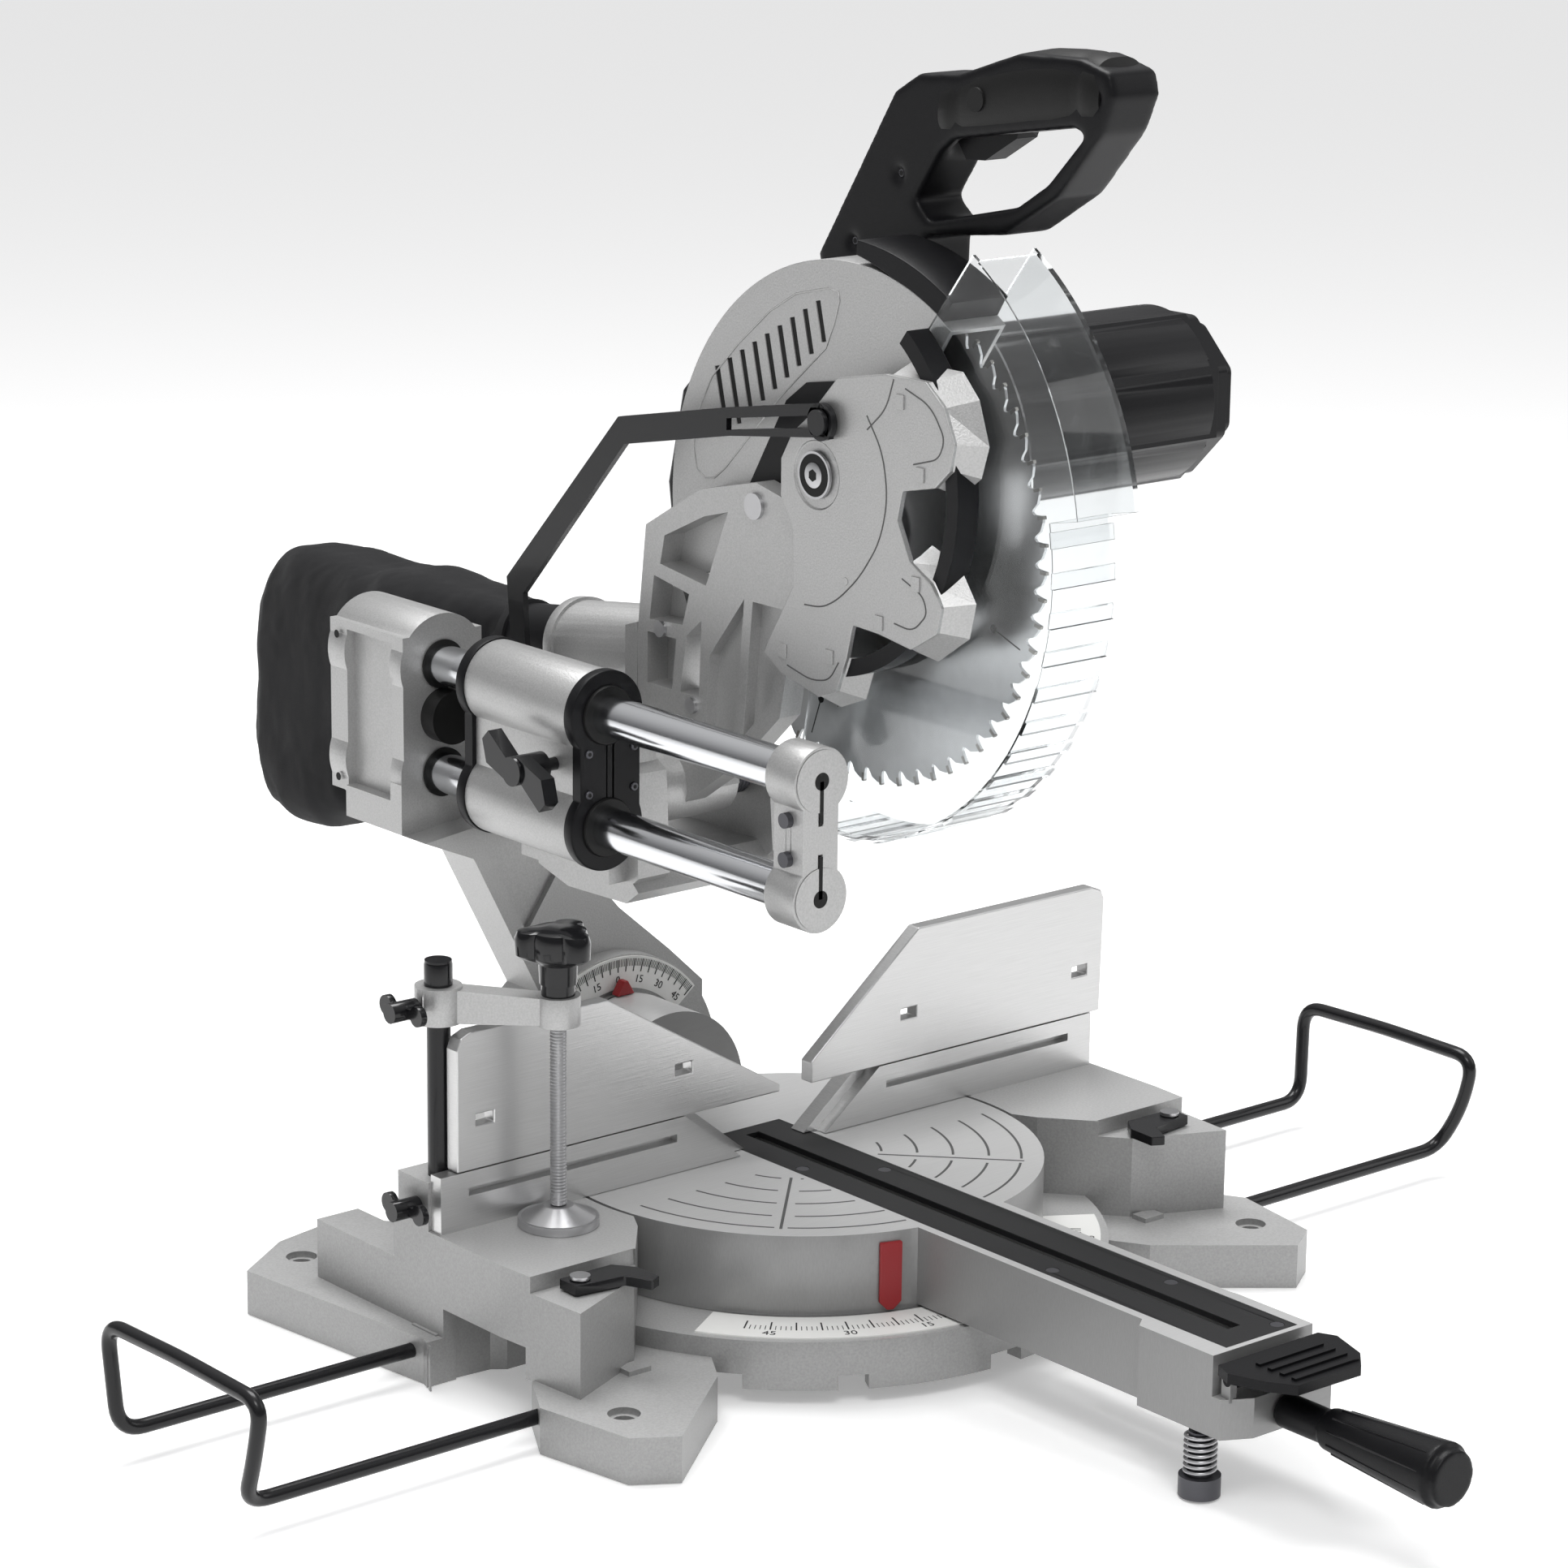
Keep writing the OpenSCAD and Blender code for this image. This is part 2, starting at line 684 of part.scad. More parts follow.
module guard_plan(d) {
  // outline of the clear lower guard, shrunk by d at the rim
  difference() {
    union() {
      translate([cy, cz]) circle(r = 181 - d, $fn = 144);
      intersection() {
        translate([cy - 5, cz + 9]) circle(r = 197 - d, $fn = 144);
        polygon([[cy, cz], [cy - 280, cz + 55], [cy - 250, cz + 300], [cy - 150, cz + 300]]);
      }
    }
    polygon([[gy, gz], [gy + 300 * cos(281), gz + 300 * sin(281)], [gy + 400, gz - 300], [gy + 400, gz + 300],
      [gy - 60, gz + 300], [gy + 300 * cos(128), gz + 300 * sin(128)]]);
  }
}

module guard_clear() {
  color([0.80, 0.86, 0.88, 0.35]) difference() {
    yz(-24, 24) guard_plan(0);
    yz(-21.8, 21.8) guard_plan(2.2);
    cx(-30, 30, gy, gz, 112);
    yz(-21.8, 21.8) polygon([[gy, gz], [gy + 290 * cos(283), gz + 290 * sin(283)], [gy + 300 * cos(279.5), gz + 300 * sin(279.5)]]);
    yz(-21.8, 21.8) polygon([[gy, gz], [gy + 300 * cos(129.5), gz + 300 * sin(129.5)], [gy + 290 * cos(126), gz + 290 * sin(126)]]);
  }
}

module guard_hub_ring() {
  color([0.08, 0.08, 0.09]) difference() {
    cx(-40, -24, gy, gz, 118);
    cx(-42, -20, gy, gz, 108);
    cx(-34, -20, gy, gz, 112);
    yz(-45, -20) polygon([[gy, gz], [gy + 300 * cos(281), gz + 300 * sin(281)], [gy + 400, gz - 300], [gy + 400, gz + 300],
      [gy - 60, gz + 300], [gy + 300 * cos(128), gz + 300 * sin(128)]]);
  }
}

module guard_hub_plate() {
  color([0.78, 0.79, 0.80]) difference() {
    yz(-43.4, -40) polygon([[-91, 586], [-133, 594], [-167, 594], [-182, 582], [-192, 562], [-188, 546],
      [-176, 535], [-149, 529], [-145, 512], [-156, 490], [-174, 480], [-184, 468], [-180, 452],
      [-158, 439], [-130, 443], [-108, 444], [-103, 424], [-94, 402], [-78, 396], [-44, 404], [-28, 414],
      [-36, 428], [-54, 458], [-53, 492], [-42, 510], [-42, 532], [-52, 549], [-66, 560]]);
    cx(-50, -30, gy, gz, 8.05);
    cx(-43.5, -42.4, gy, gz, 20);
  }
}

module guard_bolt() {
  color([0.55, 0.55, 0.56]) {
    cx(-43.6, -16, gy, gz, 8);
    cx(-45.4, -43.6, gy, gz, 14);
  }
}

module guard_link() {
  color([0.08, 0.08, 0.08]) {
    difference() {
      yz(-50, -46) polygon([[-92, 551], [-92, 567], [-84, 571], [2, 556], [103, 536], [216, 418],
        [212, 380], [204, 326], [197, 322], [189, 327], [197, 380], [199, 410], [97, 520], [-3, 540], [-84, 551]]);
      yz(-60, -40) polygon([[-84, 557], [-84, 564], [0, 550], [0, 543]]);
      cx(-60, -40, 197, 331, 5.05);
      cx(-60, -40, -84, 560, 5);
    }
    cx(-52, -43.9, -84, 560, 5);
    cx(-53, -50, -84, 560, 7.5);
  }
}

module fence_upper_left() {
  color([0.80, 0.81, 0.82]) difference() {
    xz(0, fence_t) polygon([[-3, 125.4], [-3, 130], [-137, fence_top], [-238, fence_top], [-245, fence_top - 3],
      [-248, fence_top - 10], [-248, 125.4]]);
    for (x = [-79, -228]) translate([x - 6.5, -1, 152]) cube([13, 20, 7]);
  }
}

module fence_upper_right() {
  color([0.80, 0.81, 0.82]) difference() {
    xz(0, fence_t) polygon([[22, 125.4], [22, 139], [109, fence_top], [259, fence_top], [266, fence_top - 3],
      [269, fence_top - 9], [267, 125.4]]);
    for (x = [102, 249]) translate([x - 6.5, -1, 152]) cube([13, 20, 7]);
  }
}

module side_wire_right() {
  color([0.07, 0.07, 0.07]) wire();
}

module side_wire_left() {
  color([0.07, 0.07, 0.07]) mirror([1, 0, 0]) wire();
}

module bar(a, b, r) {
  d = b - a;
  l = norm(d);
  translate(a) rotate([0, acos(d[2] / l), atan2(d[1], d[0])]) cylinder(r = r, h = l, $fn = 48);
  translate(b) sphere(r = r + 0.3, $fn = 48);
}

module wire() {
  cx(205, 474, -114, 18, wire_r);
  cx(205, 474, 13, 18, wire_r);
  translate([474, 13, 18]) sphere(r = wire_r + 0.3, $fn = 48);
  bar([474, 13, 18], [478, 15, 28], wire_r);
  bar([478, 15, 28], [478, 16, 76], wire_r);
  bar([478, 16, 76], [478, 8, 86], wire_r);
  bar([478, 8, 86], [478, -130, 86], wire_r);
  bar([478, -130, 86], [478, -139, 76], wire_r);
  bar([478, -139, 76], [478, -118, 28], wire_r);
  bar([478, -118, 28], [474, -114, 18], wire_r);
}

module clamp_post() {
  color([0.62, 0.62, 0.64]) {
    translate([post_x, post_y, 60]) cylinder(r = 7, h = 178);
    translate([post_x, post_y, 236.3]) cylinder(r = 8, h = 15);
  }
}

module clamp_arm() {
  color([0.76, 0.77, 0.78]) difference() {
    union() {
      translate([post_x, post_y, 214]) cylinder(r = 14, h = 22);
      translate([scr_x, scr_y, 213]) cylinder(r = 13, h = 18);
      translate([post_x, post_y, 0]) rotate([0, 0, atan2(scr_y - post_y, scr_x - post_x)]) rotate([90, 0, 0])
        translate([0, 0, -8]) linear_extrude(16) polygon([[4, 216], [4, 235], [64, 230], [64, 214], [14, 214.5]]);
    }
    translate([post_x, post_y, 200]) cylinder(r = 7.05, h = 60);
    translate([scr_x, scr_y, 200]) cylinder(r = 5.05, h = 60);
    cx(-275, post_x, post_y, 225, 3.05);
  }
}

module clamp_foot() {
  color([0.10, 0.10, 0.11]) translate([scr_x, scr_y, table_z + 0.2]) {
    cylinder(r = 24, h = 5);
    translate([0, 0, 5]) cylinder(r1 = 22, r2 = 9, h = 7);
  }
}

module clamp_screw() {
  color([0.10, 0.10, 0.11]) {
    translate([scr_x, scr_y, table_z + 12.5]) cylinder(r = 5, h = 145);
    difference() {
      union() {
        translate([scr_x, scr_y, 238]) cylinder(r = 13, h = 16);
        for (a = [30, 150, 270]) translate([scr_x, scr_y, 246]) rotate([0, 0, a]) {
          translate([0, -8, 0]) cube([18, 16, 22]);
          translate([18, 0, 0]) cylinder(r = 8, h = 22);
        }
        translate([scr_x, scr_y, 246]) cylinder(r = 14, h = 25);
      }
      translate([scr_x, scr_y, 200]) cylinder(r = 4.9, h = 40);
    }
  }
}

module wing(z) {
  cx(-270, -254.4, post_y, z, 3);
  cx(-282, -263.5, post_y, z, 6);
  translate([-274, post_y - 16, z - 3]) cube([4, 32, 6]);
  cx(-274, -270, post_y - 15, z, 6);
  cx(-274, -270, post_y + 15, z, 6);
}

module clamp_wing_upper() {
  color([0.06, 0.06, 0.06]) wing(225);
}

module clamp_wing_lower() {
  color([0.06, 0.06, 0.06]) wing(104);
}

module flip_left() {
  difference() {
    translate([0, 0, 81]) linear_extrude(6) polygon([[-244, -92], [-244, -108], [-212, -112], [-204, -128],
      [-196, -124], [-197, -104], [-206, -92]]);
    translate([-235, -100, 70]) cylinder(r = 3.05, h = 30);
  }
}

module flip_stop_left() {
  color([0.10, 0.10, 0.10]) flip_left();
}

module flip_stop_right() {
  color([0.10, 0.10, 0.10]) mirror([1, 0, 0]) flip_left();
}

module mitre_grip() {
  color([0.08, 0.08, 0.09]) {
    cyy(-452, -404, 0, 54, 6);
    translate([0, 0, 0]) cyy(-470, -431, 0, 54, 10);
    translate([0, -466, 54]) rotate([90, 0, 0]) cylinder(r1 = 12, r2 = 19, h = 84);
    cyy(-556, -549, 0, 54, 16);
  }
}

module detent_pedal() {
  color([0.09, 0.09, 0.10]) {
    translate([0, 0, 81]) linear_extrude(6) polygon([[-42, -420], [-47, -432], [-39, -453], [-29, -468],
      [19, -469], [32, -456], [41, -430], [36, -420]]);
    for (y = [-463, -454, -445, -436]) translate([-26, y, 86]) cube([50, 3.4, 2.4]);
    cx(-29.5, 27.5, -421, 76, 5);
    translate([-29.5, -425, 76]) cube([57, 8, 5.5]);
    cx(-36, 34, -421, 76, 3);
  }
}

module front_foot() {
  color([0.30, 0.30, 0.31]) {
    translate([-31, -398, 12]) cylinder(r = 4, h = 60);
    translate([-31, -398, 1]) cylinder(r = 12, h = 12);
    translate([-31, -398, 13]) cylinder(r = 7, h = 26);
  }
}

base_casting();
mitre_scale();
fence_lower();
flip_stop_screws();
turntable_casting();
kerf_insert();
insert_screws();
pointers();
bevel_pivot_bolt();
detent_bar();
bevel_arm_casting();
bevel_scale();
rails();
rail_bracket();
bracket_screws();
rail_bumper();
bevel_lever();
carriage_casting();
carriage_end_plates();
carriage_bushings();
head_pivot_pin();
torsion_spring();
slide_lock_knob();
head_arm();
upper_guard();
gear_case();
head_bolts();
guard_trim();
motor_housing();
motor_cap();
drive_cover();
handle();
trigger();
lock_button();
dust_port();
bag_neck();
dust_bag();
blade();
arbor();
blade_flanges();
guard_clear();
guard_hub_plate();
guard_hub_ring();
guard_bolt();
guard_link();
fence_upper_left();
fence_upper_right();
side_wire_left();
side_wire_right();
clamp_post();
clamp_arm();
clamp_foot();
clamp_screw();
clamp_wing_upper();
clamp_wing_lower();
flip_stop_left();
flip_stop_right();
mitre_grip();
detent_pedal();
front_foot();
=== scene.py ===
"""Looks of the sliding compound mitre saw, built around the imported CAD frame."""

import math
import random

import bpy
from mathutils import Matrix, Vector


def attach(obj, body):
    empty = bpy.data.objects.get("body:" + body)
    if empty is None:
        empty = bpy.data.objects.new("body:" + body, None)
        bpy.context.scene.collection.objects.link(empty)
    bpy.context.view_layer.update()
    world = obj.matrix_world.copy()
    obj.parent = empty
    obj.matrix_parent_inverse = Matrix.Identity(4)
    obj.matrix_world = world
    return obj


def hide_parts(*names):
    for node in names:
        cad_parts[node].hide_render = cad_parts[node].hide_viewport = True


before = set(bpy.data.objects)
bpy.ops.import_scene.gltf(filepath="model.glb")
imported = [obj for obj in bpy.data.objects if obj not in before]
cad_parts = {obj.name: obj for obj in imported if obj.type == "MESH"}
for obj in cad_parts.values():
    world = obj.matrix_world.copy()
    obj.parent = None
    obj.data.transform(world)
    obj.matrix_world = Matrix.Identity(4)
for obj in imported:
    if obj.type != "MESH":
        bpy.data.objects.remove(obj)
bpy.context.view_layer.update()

MM = 0.001
SEED = 7

# ---------------------------------------------------------------- places, mm
CENTRE = (0.0, -72.0, 490.0)      # blade centre
GUARD_PIVOT = (0.0, -74.0, 527.0)
MITRE = (0.0, -13.0)              # mitre swivel axis
BEVEL_Z = 90.0                    # bevel axis height
MOTOR = (0.0, -70.0, 546.0)       # motor axis
SCREW = (-194.0, -26.0)           # clamp screw axis
RAIL_X = -110.0
RAIL_Z = (304, 373)               # lower and upper guide rail
TABLE_Z = 90.0
BLADE_R = 152.5
TEETH = 60
FIGURES = (-45, -30, -15, 0, 15, 30, 45)   # degrees marked on both scales


# ---------------------------------------------------------------- materials
def new_material(name, color, metallic=0.0, roughness=0.5, **extra):
    """A Principled material with plain values on its sockets."""
    mat = bpy.data.materials.new(name)
    mat.use_nodes = True
    shader = mat.node_tree.nodes["Principled BSDF"]
    shader.inputs["Base Color"].default_value = (*color, 1.0)
    shader.inputs["Metallic"].default_value = metallic
    shader.inputs["Roughness"].default_value = roughness
    for socket, value in extra.items():
        shader.inputs[socket.replace("_", " ")].default_value = value
    return mat


def add_grain(mat, scale, stretch=(1, 1, 1), bump=0.1, rough=0.0, tint=0.0, detail=6.0):
    """Noise in object space that drives a bump and, if asked, roughness and colour."""
    nodes, links = mat.node_tree.nodes, mat.node_tree.links
    shader = nodes["Principled BSDF"]
    coords = nodes.new("ShaderNodeTexCoord")
    mapping = nodes.new("ShaderNodeMapping")
    mapping.inputs["Scale"].default_value = stretch
    noise = nodes.new("ShaderNodeTexNoise")
    noise.inputs["Scale"].default_value = scale
    noise.inputs["Detail"].default_value = detail
    links.new(coords.outputs["Object"], mapping.inputs["Vector"])
    links.new(mapping.outputs["Vector"], noise.inputs["Vector"])
    if bump:
        bumper = nodes.new("ShaderNodeBump")
        bumper.inputs["Strength"].default_value = bump
        bumper.inputs["Distance"].default_value = 0.0006
        links.new(noise.outputs["Fac"], bumper.inputs["Height"])
        links.new(bumper.outputs["Normal"], shader.inputs["Normal"])
    if rough:
        base = shader.inputs["Roughness"].default_value
        spread = nodes.new("ShaderNodeMapRange")
        spread.inputs["To Min"].default_value = base - rough
        spread.inputs["To Max"].default_value = base + rough
        links.new(noise.outputs["Fac"], spread.inputs["Value"])
        links.new(spread.outputs["Result"], shader.inputs["Roughness"])
    if tint:
        color = list(shader.inputs["Base Color"].default_value)[:3]
        ramp = nodes.new("ShaderNodeValToRGB")
        ramp.color_ramp.elements[0].position = 0.3
        ramp.color_ramp.elements[1].position = 0.7
        ramp.color_ramp.elements[0].color = (*[c * (1 - tint) for c in color], 1)
        ramp.color_ramp.elements[1].color = (*[min(1, c * (1 + tint)) for c in color], 1)
        links.new(noise.outputs["Fac"], ramp.inputs["Fac"])
        links.new(ramp.outputs["Color"], shader.inputs["Base Color"])
    return mat


def darker_sides(mat, share):
    """Paints shade into the colour: faces that do not point up are drawn darker, standing in for
    the shade that sides get under overhead light; the tops stay bright.
    """
    nodes, links = mat.node_tree.nodes, mat.node_tree.links
    base = nodes["Principled BSDF"].inputs["Base Color"]
    source = base.links[0].from_socket
    coords = nodes.new("ShaderNodeTexCoord")
    split = nodes.new("ShaderNodeSeparateXYZ")
    facing = nodes.new("ShaderNodeMapRange")
    facing.inputs["From Min"].default_value = 0.6
    facing.inputs["From Max"].default_value = 0.95
    facing.inputs["To Min"].default_value = 1.0
    facing.inputs["To Max"].default_value = 0.0
    mix = nodes.new("ShaderNodeMix")
    mix.data_type = "RGBA"
    mix.blend_type = "MULTIPLY"
    mix.inputs[7].default_value = (share, share, share, 1)
    links.new(coords.outputs["Normal"], split.inputs["Vector"])
    links.new(split.outputs["Z"], facing.inputs["Value"])
    links.new(facing.outputs["Result"], mix.inputs[0])
    links.new(source, mix.inputs[6])
    links.new(mix.outputs[2], base)
    return mat


CAST = add_grain(new_material("cast aluminium", (0.45, 0.45, 0.448), 0.62, 0.40),
                 900, bump=0.24, rough=0.06, tint=0.10)
PAINTED_CAST = add_grain(new_material("base casting", (0.54, 0.54, 0.538), 0.45, 0.40),
                         700, bump=0.22, rough=0.05, tint=0.09)
TABLE_TOP = add_grain(new_material("machined table", (0.62, 0.62, 0.618), 0.4, 0.36),
                      260, (0.15, 6, 1), bump=0.12, rough=0.05, tint=0.04)
BRUSHED = add_grain(new_material("brushed fence", (0.60, 0.60, 0.598), 0.85, 0.31),
                    240, (0.12, 1, 7), bump=0.16, rough=0.07, tint=0.05)
POLISHED = add_grain(new_material("polished rail", (0.72, 0.73, 0.75), 1.0, 0.15),
                     300, (8, 0.2, 8), bump=0.03, rough=0.02)
BLADE_STEEL = add_grain(new_material("blade steel", (0.62, 0.63, 0.64), 1.0, 0.3),
                        120, (1, 1, 1), bump=0.03, rough=0.05, tint=0.04)
CARBIDE = new_material("carbide", (0.35, 0.34, 0.32), 1.0, 0.35)
STEEL = add_grain(new_material("plated steel", (0.50, 0.50, 0.51), 1.0, 0.33),
                  500, bump=0.04, rough=0.05)
DARK_STEEL = add_grain(new_material("dark steel", (0.10, 0.10, 0.11), 0.8, 0.42), 500, bump=0.05)
PLASTIC = add_grain(new_material("black plastic", (0.006, 0.006, 0.007), 0.0, 0.38,
                                 Specular_IOR_Level=0.18),
                    1400, bump=0.12, rough=0.05)
MOTOR_BLACK = add_grain(new_material("motor plastic", (0.007, 0.007, 0.008), 0.0, 0.30,
                                     Specular_IOR_Level=0.22),
                        1400, bump=0.10, rough=0.05)
GLOSS = new_material("gloss black plastic", (0.006, 0.006, 0.007), 0.0, 0.18,
                     Specular_IOR_Level=0.35, Coat_Weight=0.15)
PAINT = add_grain(new_material("black paint", (0.007, 0.007, 0.008), 0.0, 0.26,
                               Specular_IOR_Level=0.3, Coat_Weight=0.1),
                  900, bump=0.05)
RUBBER = add_grain(new_material("rubber", (0.008, 0.008, 0.008), 0.0, 0.46,
                                Specular_IOR_Level=0.25), 1200, bump=0.12)
INSERT = add_grain(new_material("kerf insert", (0.014, 0.014, 0.015), 0.0, 0.5,
                                Specular_IOR_Level=0.3), 1200, bump=0.1)
WHITE = add_grain(new_material("white scale", (0.84, 0.84, 0.82), 0.0, 0.42), 600, bump=0.02)
INK = new_material("scale ink", (0.012, 0.012, 0.013), 0.0, 0.6)
RED = new_material("red plastic", (0.28, 0.006, 0.010), 0.0, 0.3)
BRASS = add_grain(new_material("bronze bushing", (0.50, 0.36, 0.17), 1.0, 0.35), 500, bump=0.05)
FABRIC = add_grain(new_material("bag fabric", (0.007, 0.007, 0.008), 0.0, 0.88,
                                Specular_IOR_Level=0.2, Sheen_Weight=0.08),
                   2200, bump=0.55, rough=0.04, tint=0.2)
CLEAR = new_material("clear polycarbonate", (0.93, 0.945, 0.95), 0.0, 0.05,
                     Transmission_Weight=1.0, IOR=1.16, Coat_Weight=0.5)
# Painted shade: near black, put into holes, slots, vents and screw sockets where the shade inside
# them falls.
RECESS_SHADE = new_material("painted recess shade", (0.004, 0.004, 0.004), 0.0, 0.8)
# Painted shade: dark grey lines along grooves and creases.
GROOVE_SHADE = new_material("shadow line", (0.10, 0.10, 0.10), 0.3, 0.6)
# Painted shade: the sides of the base casting and the turntable are drawn darker than their tops.
darker_sides(PAINTED_CAST, 0.62)
darker_sides(TABLE_TOP, 0.46)

NODE_MATERIALS = {
    "base_casting": PAINTED_CAST, "mitre_scale": WHITE, "fence_lower": BRUSHED,
    "flip_stop_screws": STEEL, "turntable_casting": TABLE_TOP, "kerf_insert": INSERT,
    "insert_screws": DARK_STEEL, "pointers": RED, "bevel_pivot_bolt": STEEL,
    "detent_bar": PAINT, "bevel_arm_casting": CAST, "bevel_scale": WHITE,
    "rails": POLISHED, "rail_bracket": CAST, "bracket_screws": DARK_STEEL,
    "rail_bumper": RUBBER, "bevel_lever": PLASTIC, "carriage_casting": CAST,
    "carriage_end_plates": PLASTIC, "carriage_bushings": BRASS, "head_pivot_pin": STEEL,
    "torsion_spring": DARK_STEEL, "slide_lock_knob": GLOSS, "head_arm": CAST,
    "upper_guard": CAST, "gear_case": CAST, "head_bolts": STEEL, "guard_trim": PLASTIC,
    "motor_housing": MOTOR_BLACK, "motor_cap": MOTOR_BLACK, "drive_cover": MOTOR_BLACK,
    "handle": PLASTIC, "trigger": PLASTIC, "lock_button": RUBBER, "dust_port": CAST,
    "bag_neck": PLASTIC, "blade": BLADE_STEEL, "arbor": STEEL, "blade_flanges": STEEL,
    "guard_clear": CLEAR, "guard_hub_plate": CAST, "guard_hub_ring": PLASTIC,
    "guard_bolt": STEEL, "guard_link": PAINT, "fence_upper_left": BRUSHED,
    "fence_upper_right": BRUSHED, "side_wire_left": PAINT, "side_wire_right": PAINT,
    "clamp_post": PAINT, "clamp_arm": CAST, "clamp_foot": STEEL, "clamp_screw": STEEL,
    "clamp_wing_upper": GLOSS, "clamp_wing_lower": GLOSS, "flip_stop_left": PAINT,
    "flip_stop_right": PAINT, "mitre_grip": PLASTIC, "detent_pedal": PLASTIC,
    "front_foot": DARK_STEEL,
}

# Rounded edge in mm for the CAD nodes that are cast or moulded.
EDGE_RADIUS = {
    "base_casting": 2.2, "turntable_casting": 1.2, "bevel_arm_casting": 2.6,
    "rail_bracket": 1.6, "carriage_casting": 1.6, "carriage_end_plates": 1.0,
    "head_arm": 1.2, "upper_guard": 0.8, "gear_case": 2.0, "motor_housing": 3.0,
    "motor_cap": 2.5, "drive_cover": 5.0, "trigger": 2.0,
    "dust_port": 1.0, "guard_hub_plate": 0.8, "guard_link": 0.8, "fence_lower": 0.8,
    "fence_upper_left": 1.0, "fence_upper_right": 1.0, "clamp_arm": 1.6,
    "clamp_wing_upper": 1.2, "clamp_wing_lower": 1.2, "flip_stop_left": 0.9,
    "flip_stop_right": 0.9, "detent_pedal": 1.6,
    "slide_lock_knob": 2.0, "bevel_lever": 2.0, "clamp_foot": 1.0, "kerf_insert": 0.4,
    "bag_neck": 0.8, "pointers": 0.7, "guard_trim": 0.6, "rail_bumper": 2.0, "lock_button": 1.2,
}


def smooth_by_angle(obj, degrees=35.0):
    """Smooth shading that keeps the edges sharper than the angle."""
    for polygon in obj.data.polygons:
        polygon.use_smooth = True
    modifier = obj.modifiers.new("edge split", "EDGE_SPLIT")
    modifier.split_angle = math.radians(degrees)
    modifier.use_edge_sharp = False


def round_edges(obj, radius_mm, degrees=32.0, segments=3):
    """Bevels a CAD node's edges without touching its own mesh."""
    weld = obj.modifiers.new("weld", "WELD")
    weld.merge_threshold = 0.00001
    bevel = obj.modifiers.new("rounded edges", "BEVEL")
    bevel.width = radius_mm * MM
    bevel.segments = segments
    bevel.limit_method = "ANGLE"
    bevel.angle_limit = math.radians(degrees)
    bevel.harden_normals = True
    bevel.use_clamp_overlap = True


def soften(obj, voxel_mm, passes):
    """Rounds a moulded part all over, as an even skin that is then smoothed."""
    remesh = obj.modifiers.new("even skin", "REMESH")
    remesh.mode = "VOXEL"
    remesh.voxel_size = voxel_mm * MM
    remesh.use_smooth_shade = True
    smooth = obj.modifiers.new("soft edges", "SMOOTH")
    smooth.factor = 0.5
    smooth.iterations = passes


# Voxel in mm and smoothing passes for the nodes that are moulded soft all over.
SOFT = {"handle": (1.5, 34), "mitre_grip": (1.2, 10)}

for node_name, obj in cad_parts.items():
    material = NODE_MATERIALS.get(node_name)
    if material is not None:
        obj.data.materials.clear()
        obj.data.materials.append(material)
    if node_name in SOFT:
        soften(obj, *SOFT[node_name])
    elif node_name in EDGE_RADIUS:
        round_edges(obj, EDGE_RADIUS[node_name])


# ---------------------------------------------------------------- mesh helpers
def make(name, verts_mm, faces, material, body, smooth=False):
    """A mesh from corners in mm that rides on a CAD body."""
    mesh = bpy.data.meshes.new(name)
    mesh.from_pydata([tuple(c * MM for c in v) for v in verts_mm], [], faces)
    mesh.validate()
    mesh.update()
    obj = bpy.data.objects.new(name, mesh)
    bpy.context.scene.collection.objects.link(obj)
    obj.data.materials.append(material)
    if smooth:
        smooth_by_angle(obj)
    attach(obj, body)
    return obj


class Parts:
    """Collects simple solids, to be made into one mesh."""

    def __init__(self):
        self.verts = []
        self.faces = []

    def add(self, verts, faces):
        start = len(self.verts)
        self.verts += [tuple(v) for v in verts]
        self.faces += [tuple(start + i for i in face) for face in faces]

    def box(self, low, high, matrix=None):
        corners = [(x, y, z) for x in (low[0], high[0]) for y in (low[1], high[1])
                   for z in (low[2], high[2])]
        if matrix is not None:
            corners = [matrix @ Vector(c) for c in corners]
        self.add(corners, [(0, 1, 3, 2), (4, 6, 7, 5), (0, 4, 5, 1), (2, 3, 7, 6),
                           (0, 2, 6, 4), (1, 5, 7, 3)])

    def lathe(self, profile, matrix, steps=32):
        """Turns (radius, height) points about the local Z axis of matrix."""
        ring = len(profile)
        verts = []
        for i in range(steps):
            a = 2 * math.pi * i / steps
            verts += [matrix @ Vector((r * math.cos(a), r * math.sin(a), h)) for r, h in profile]
        faces = []
        for i in range(steps):
            j = (i + 1) % steps
            for k in range(ring - 1):
                faces.append((i * ring + k, j * ring + k, j * ring + k + 1, i * ring + k + 1))
        faces.append([i * ring for i in range(steps)][::-1])
        faces.append([i * ring + ring - 1 for i in range(steps)])
        self.add(verts, faces)

    def prism(self, outline, matrix, depth):
        """Outline in local XY, depth along local Z."""
        n = len(outline)
        verts = [matrix @ Vector((x, y, 0)) for x, y in outline]
        verts += [matrix @ Vector((x, y, depth)) for x, y in outline]
        faces = [tuple(range(n))[::-1], tuple(range(n, 2 * n))]
        faces += [(i, (i + 1) % n, n + (i + 1) % n, n + i) for i in range(n)]
        self.add(verts, faces)

    def make(self, name, material, body, smooth=False, slot=None):
        return make(name, self.verts, self.faces, material, body, smooth)


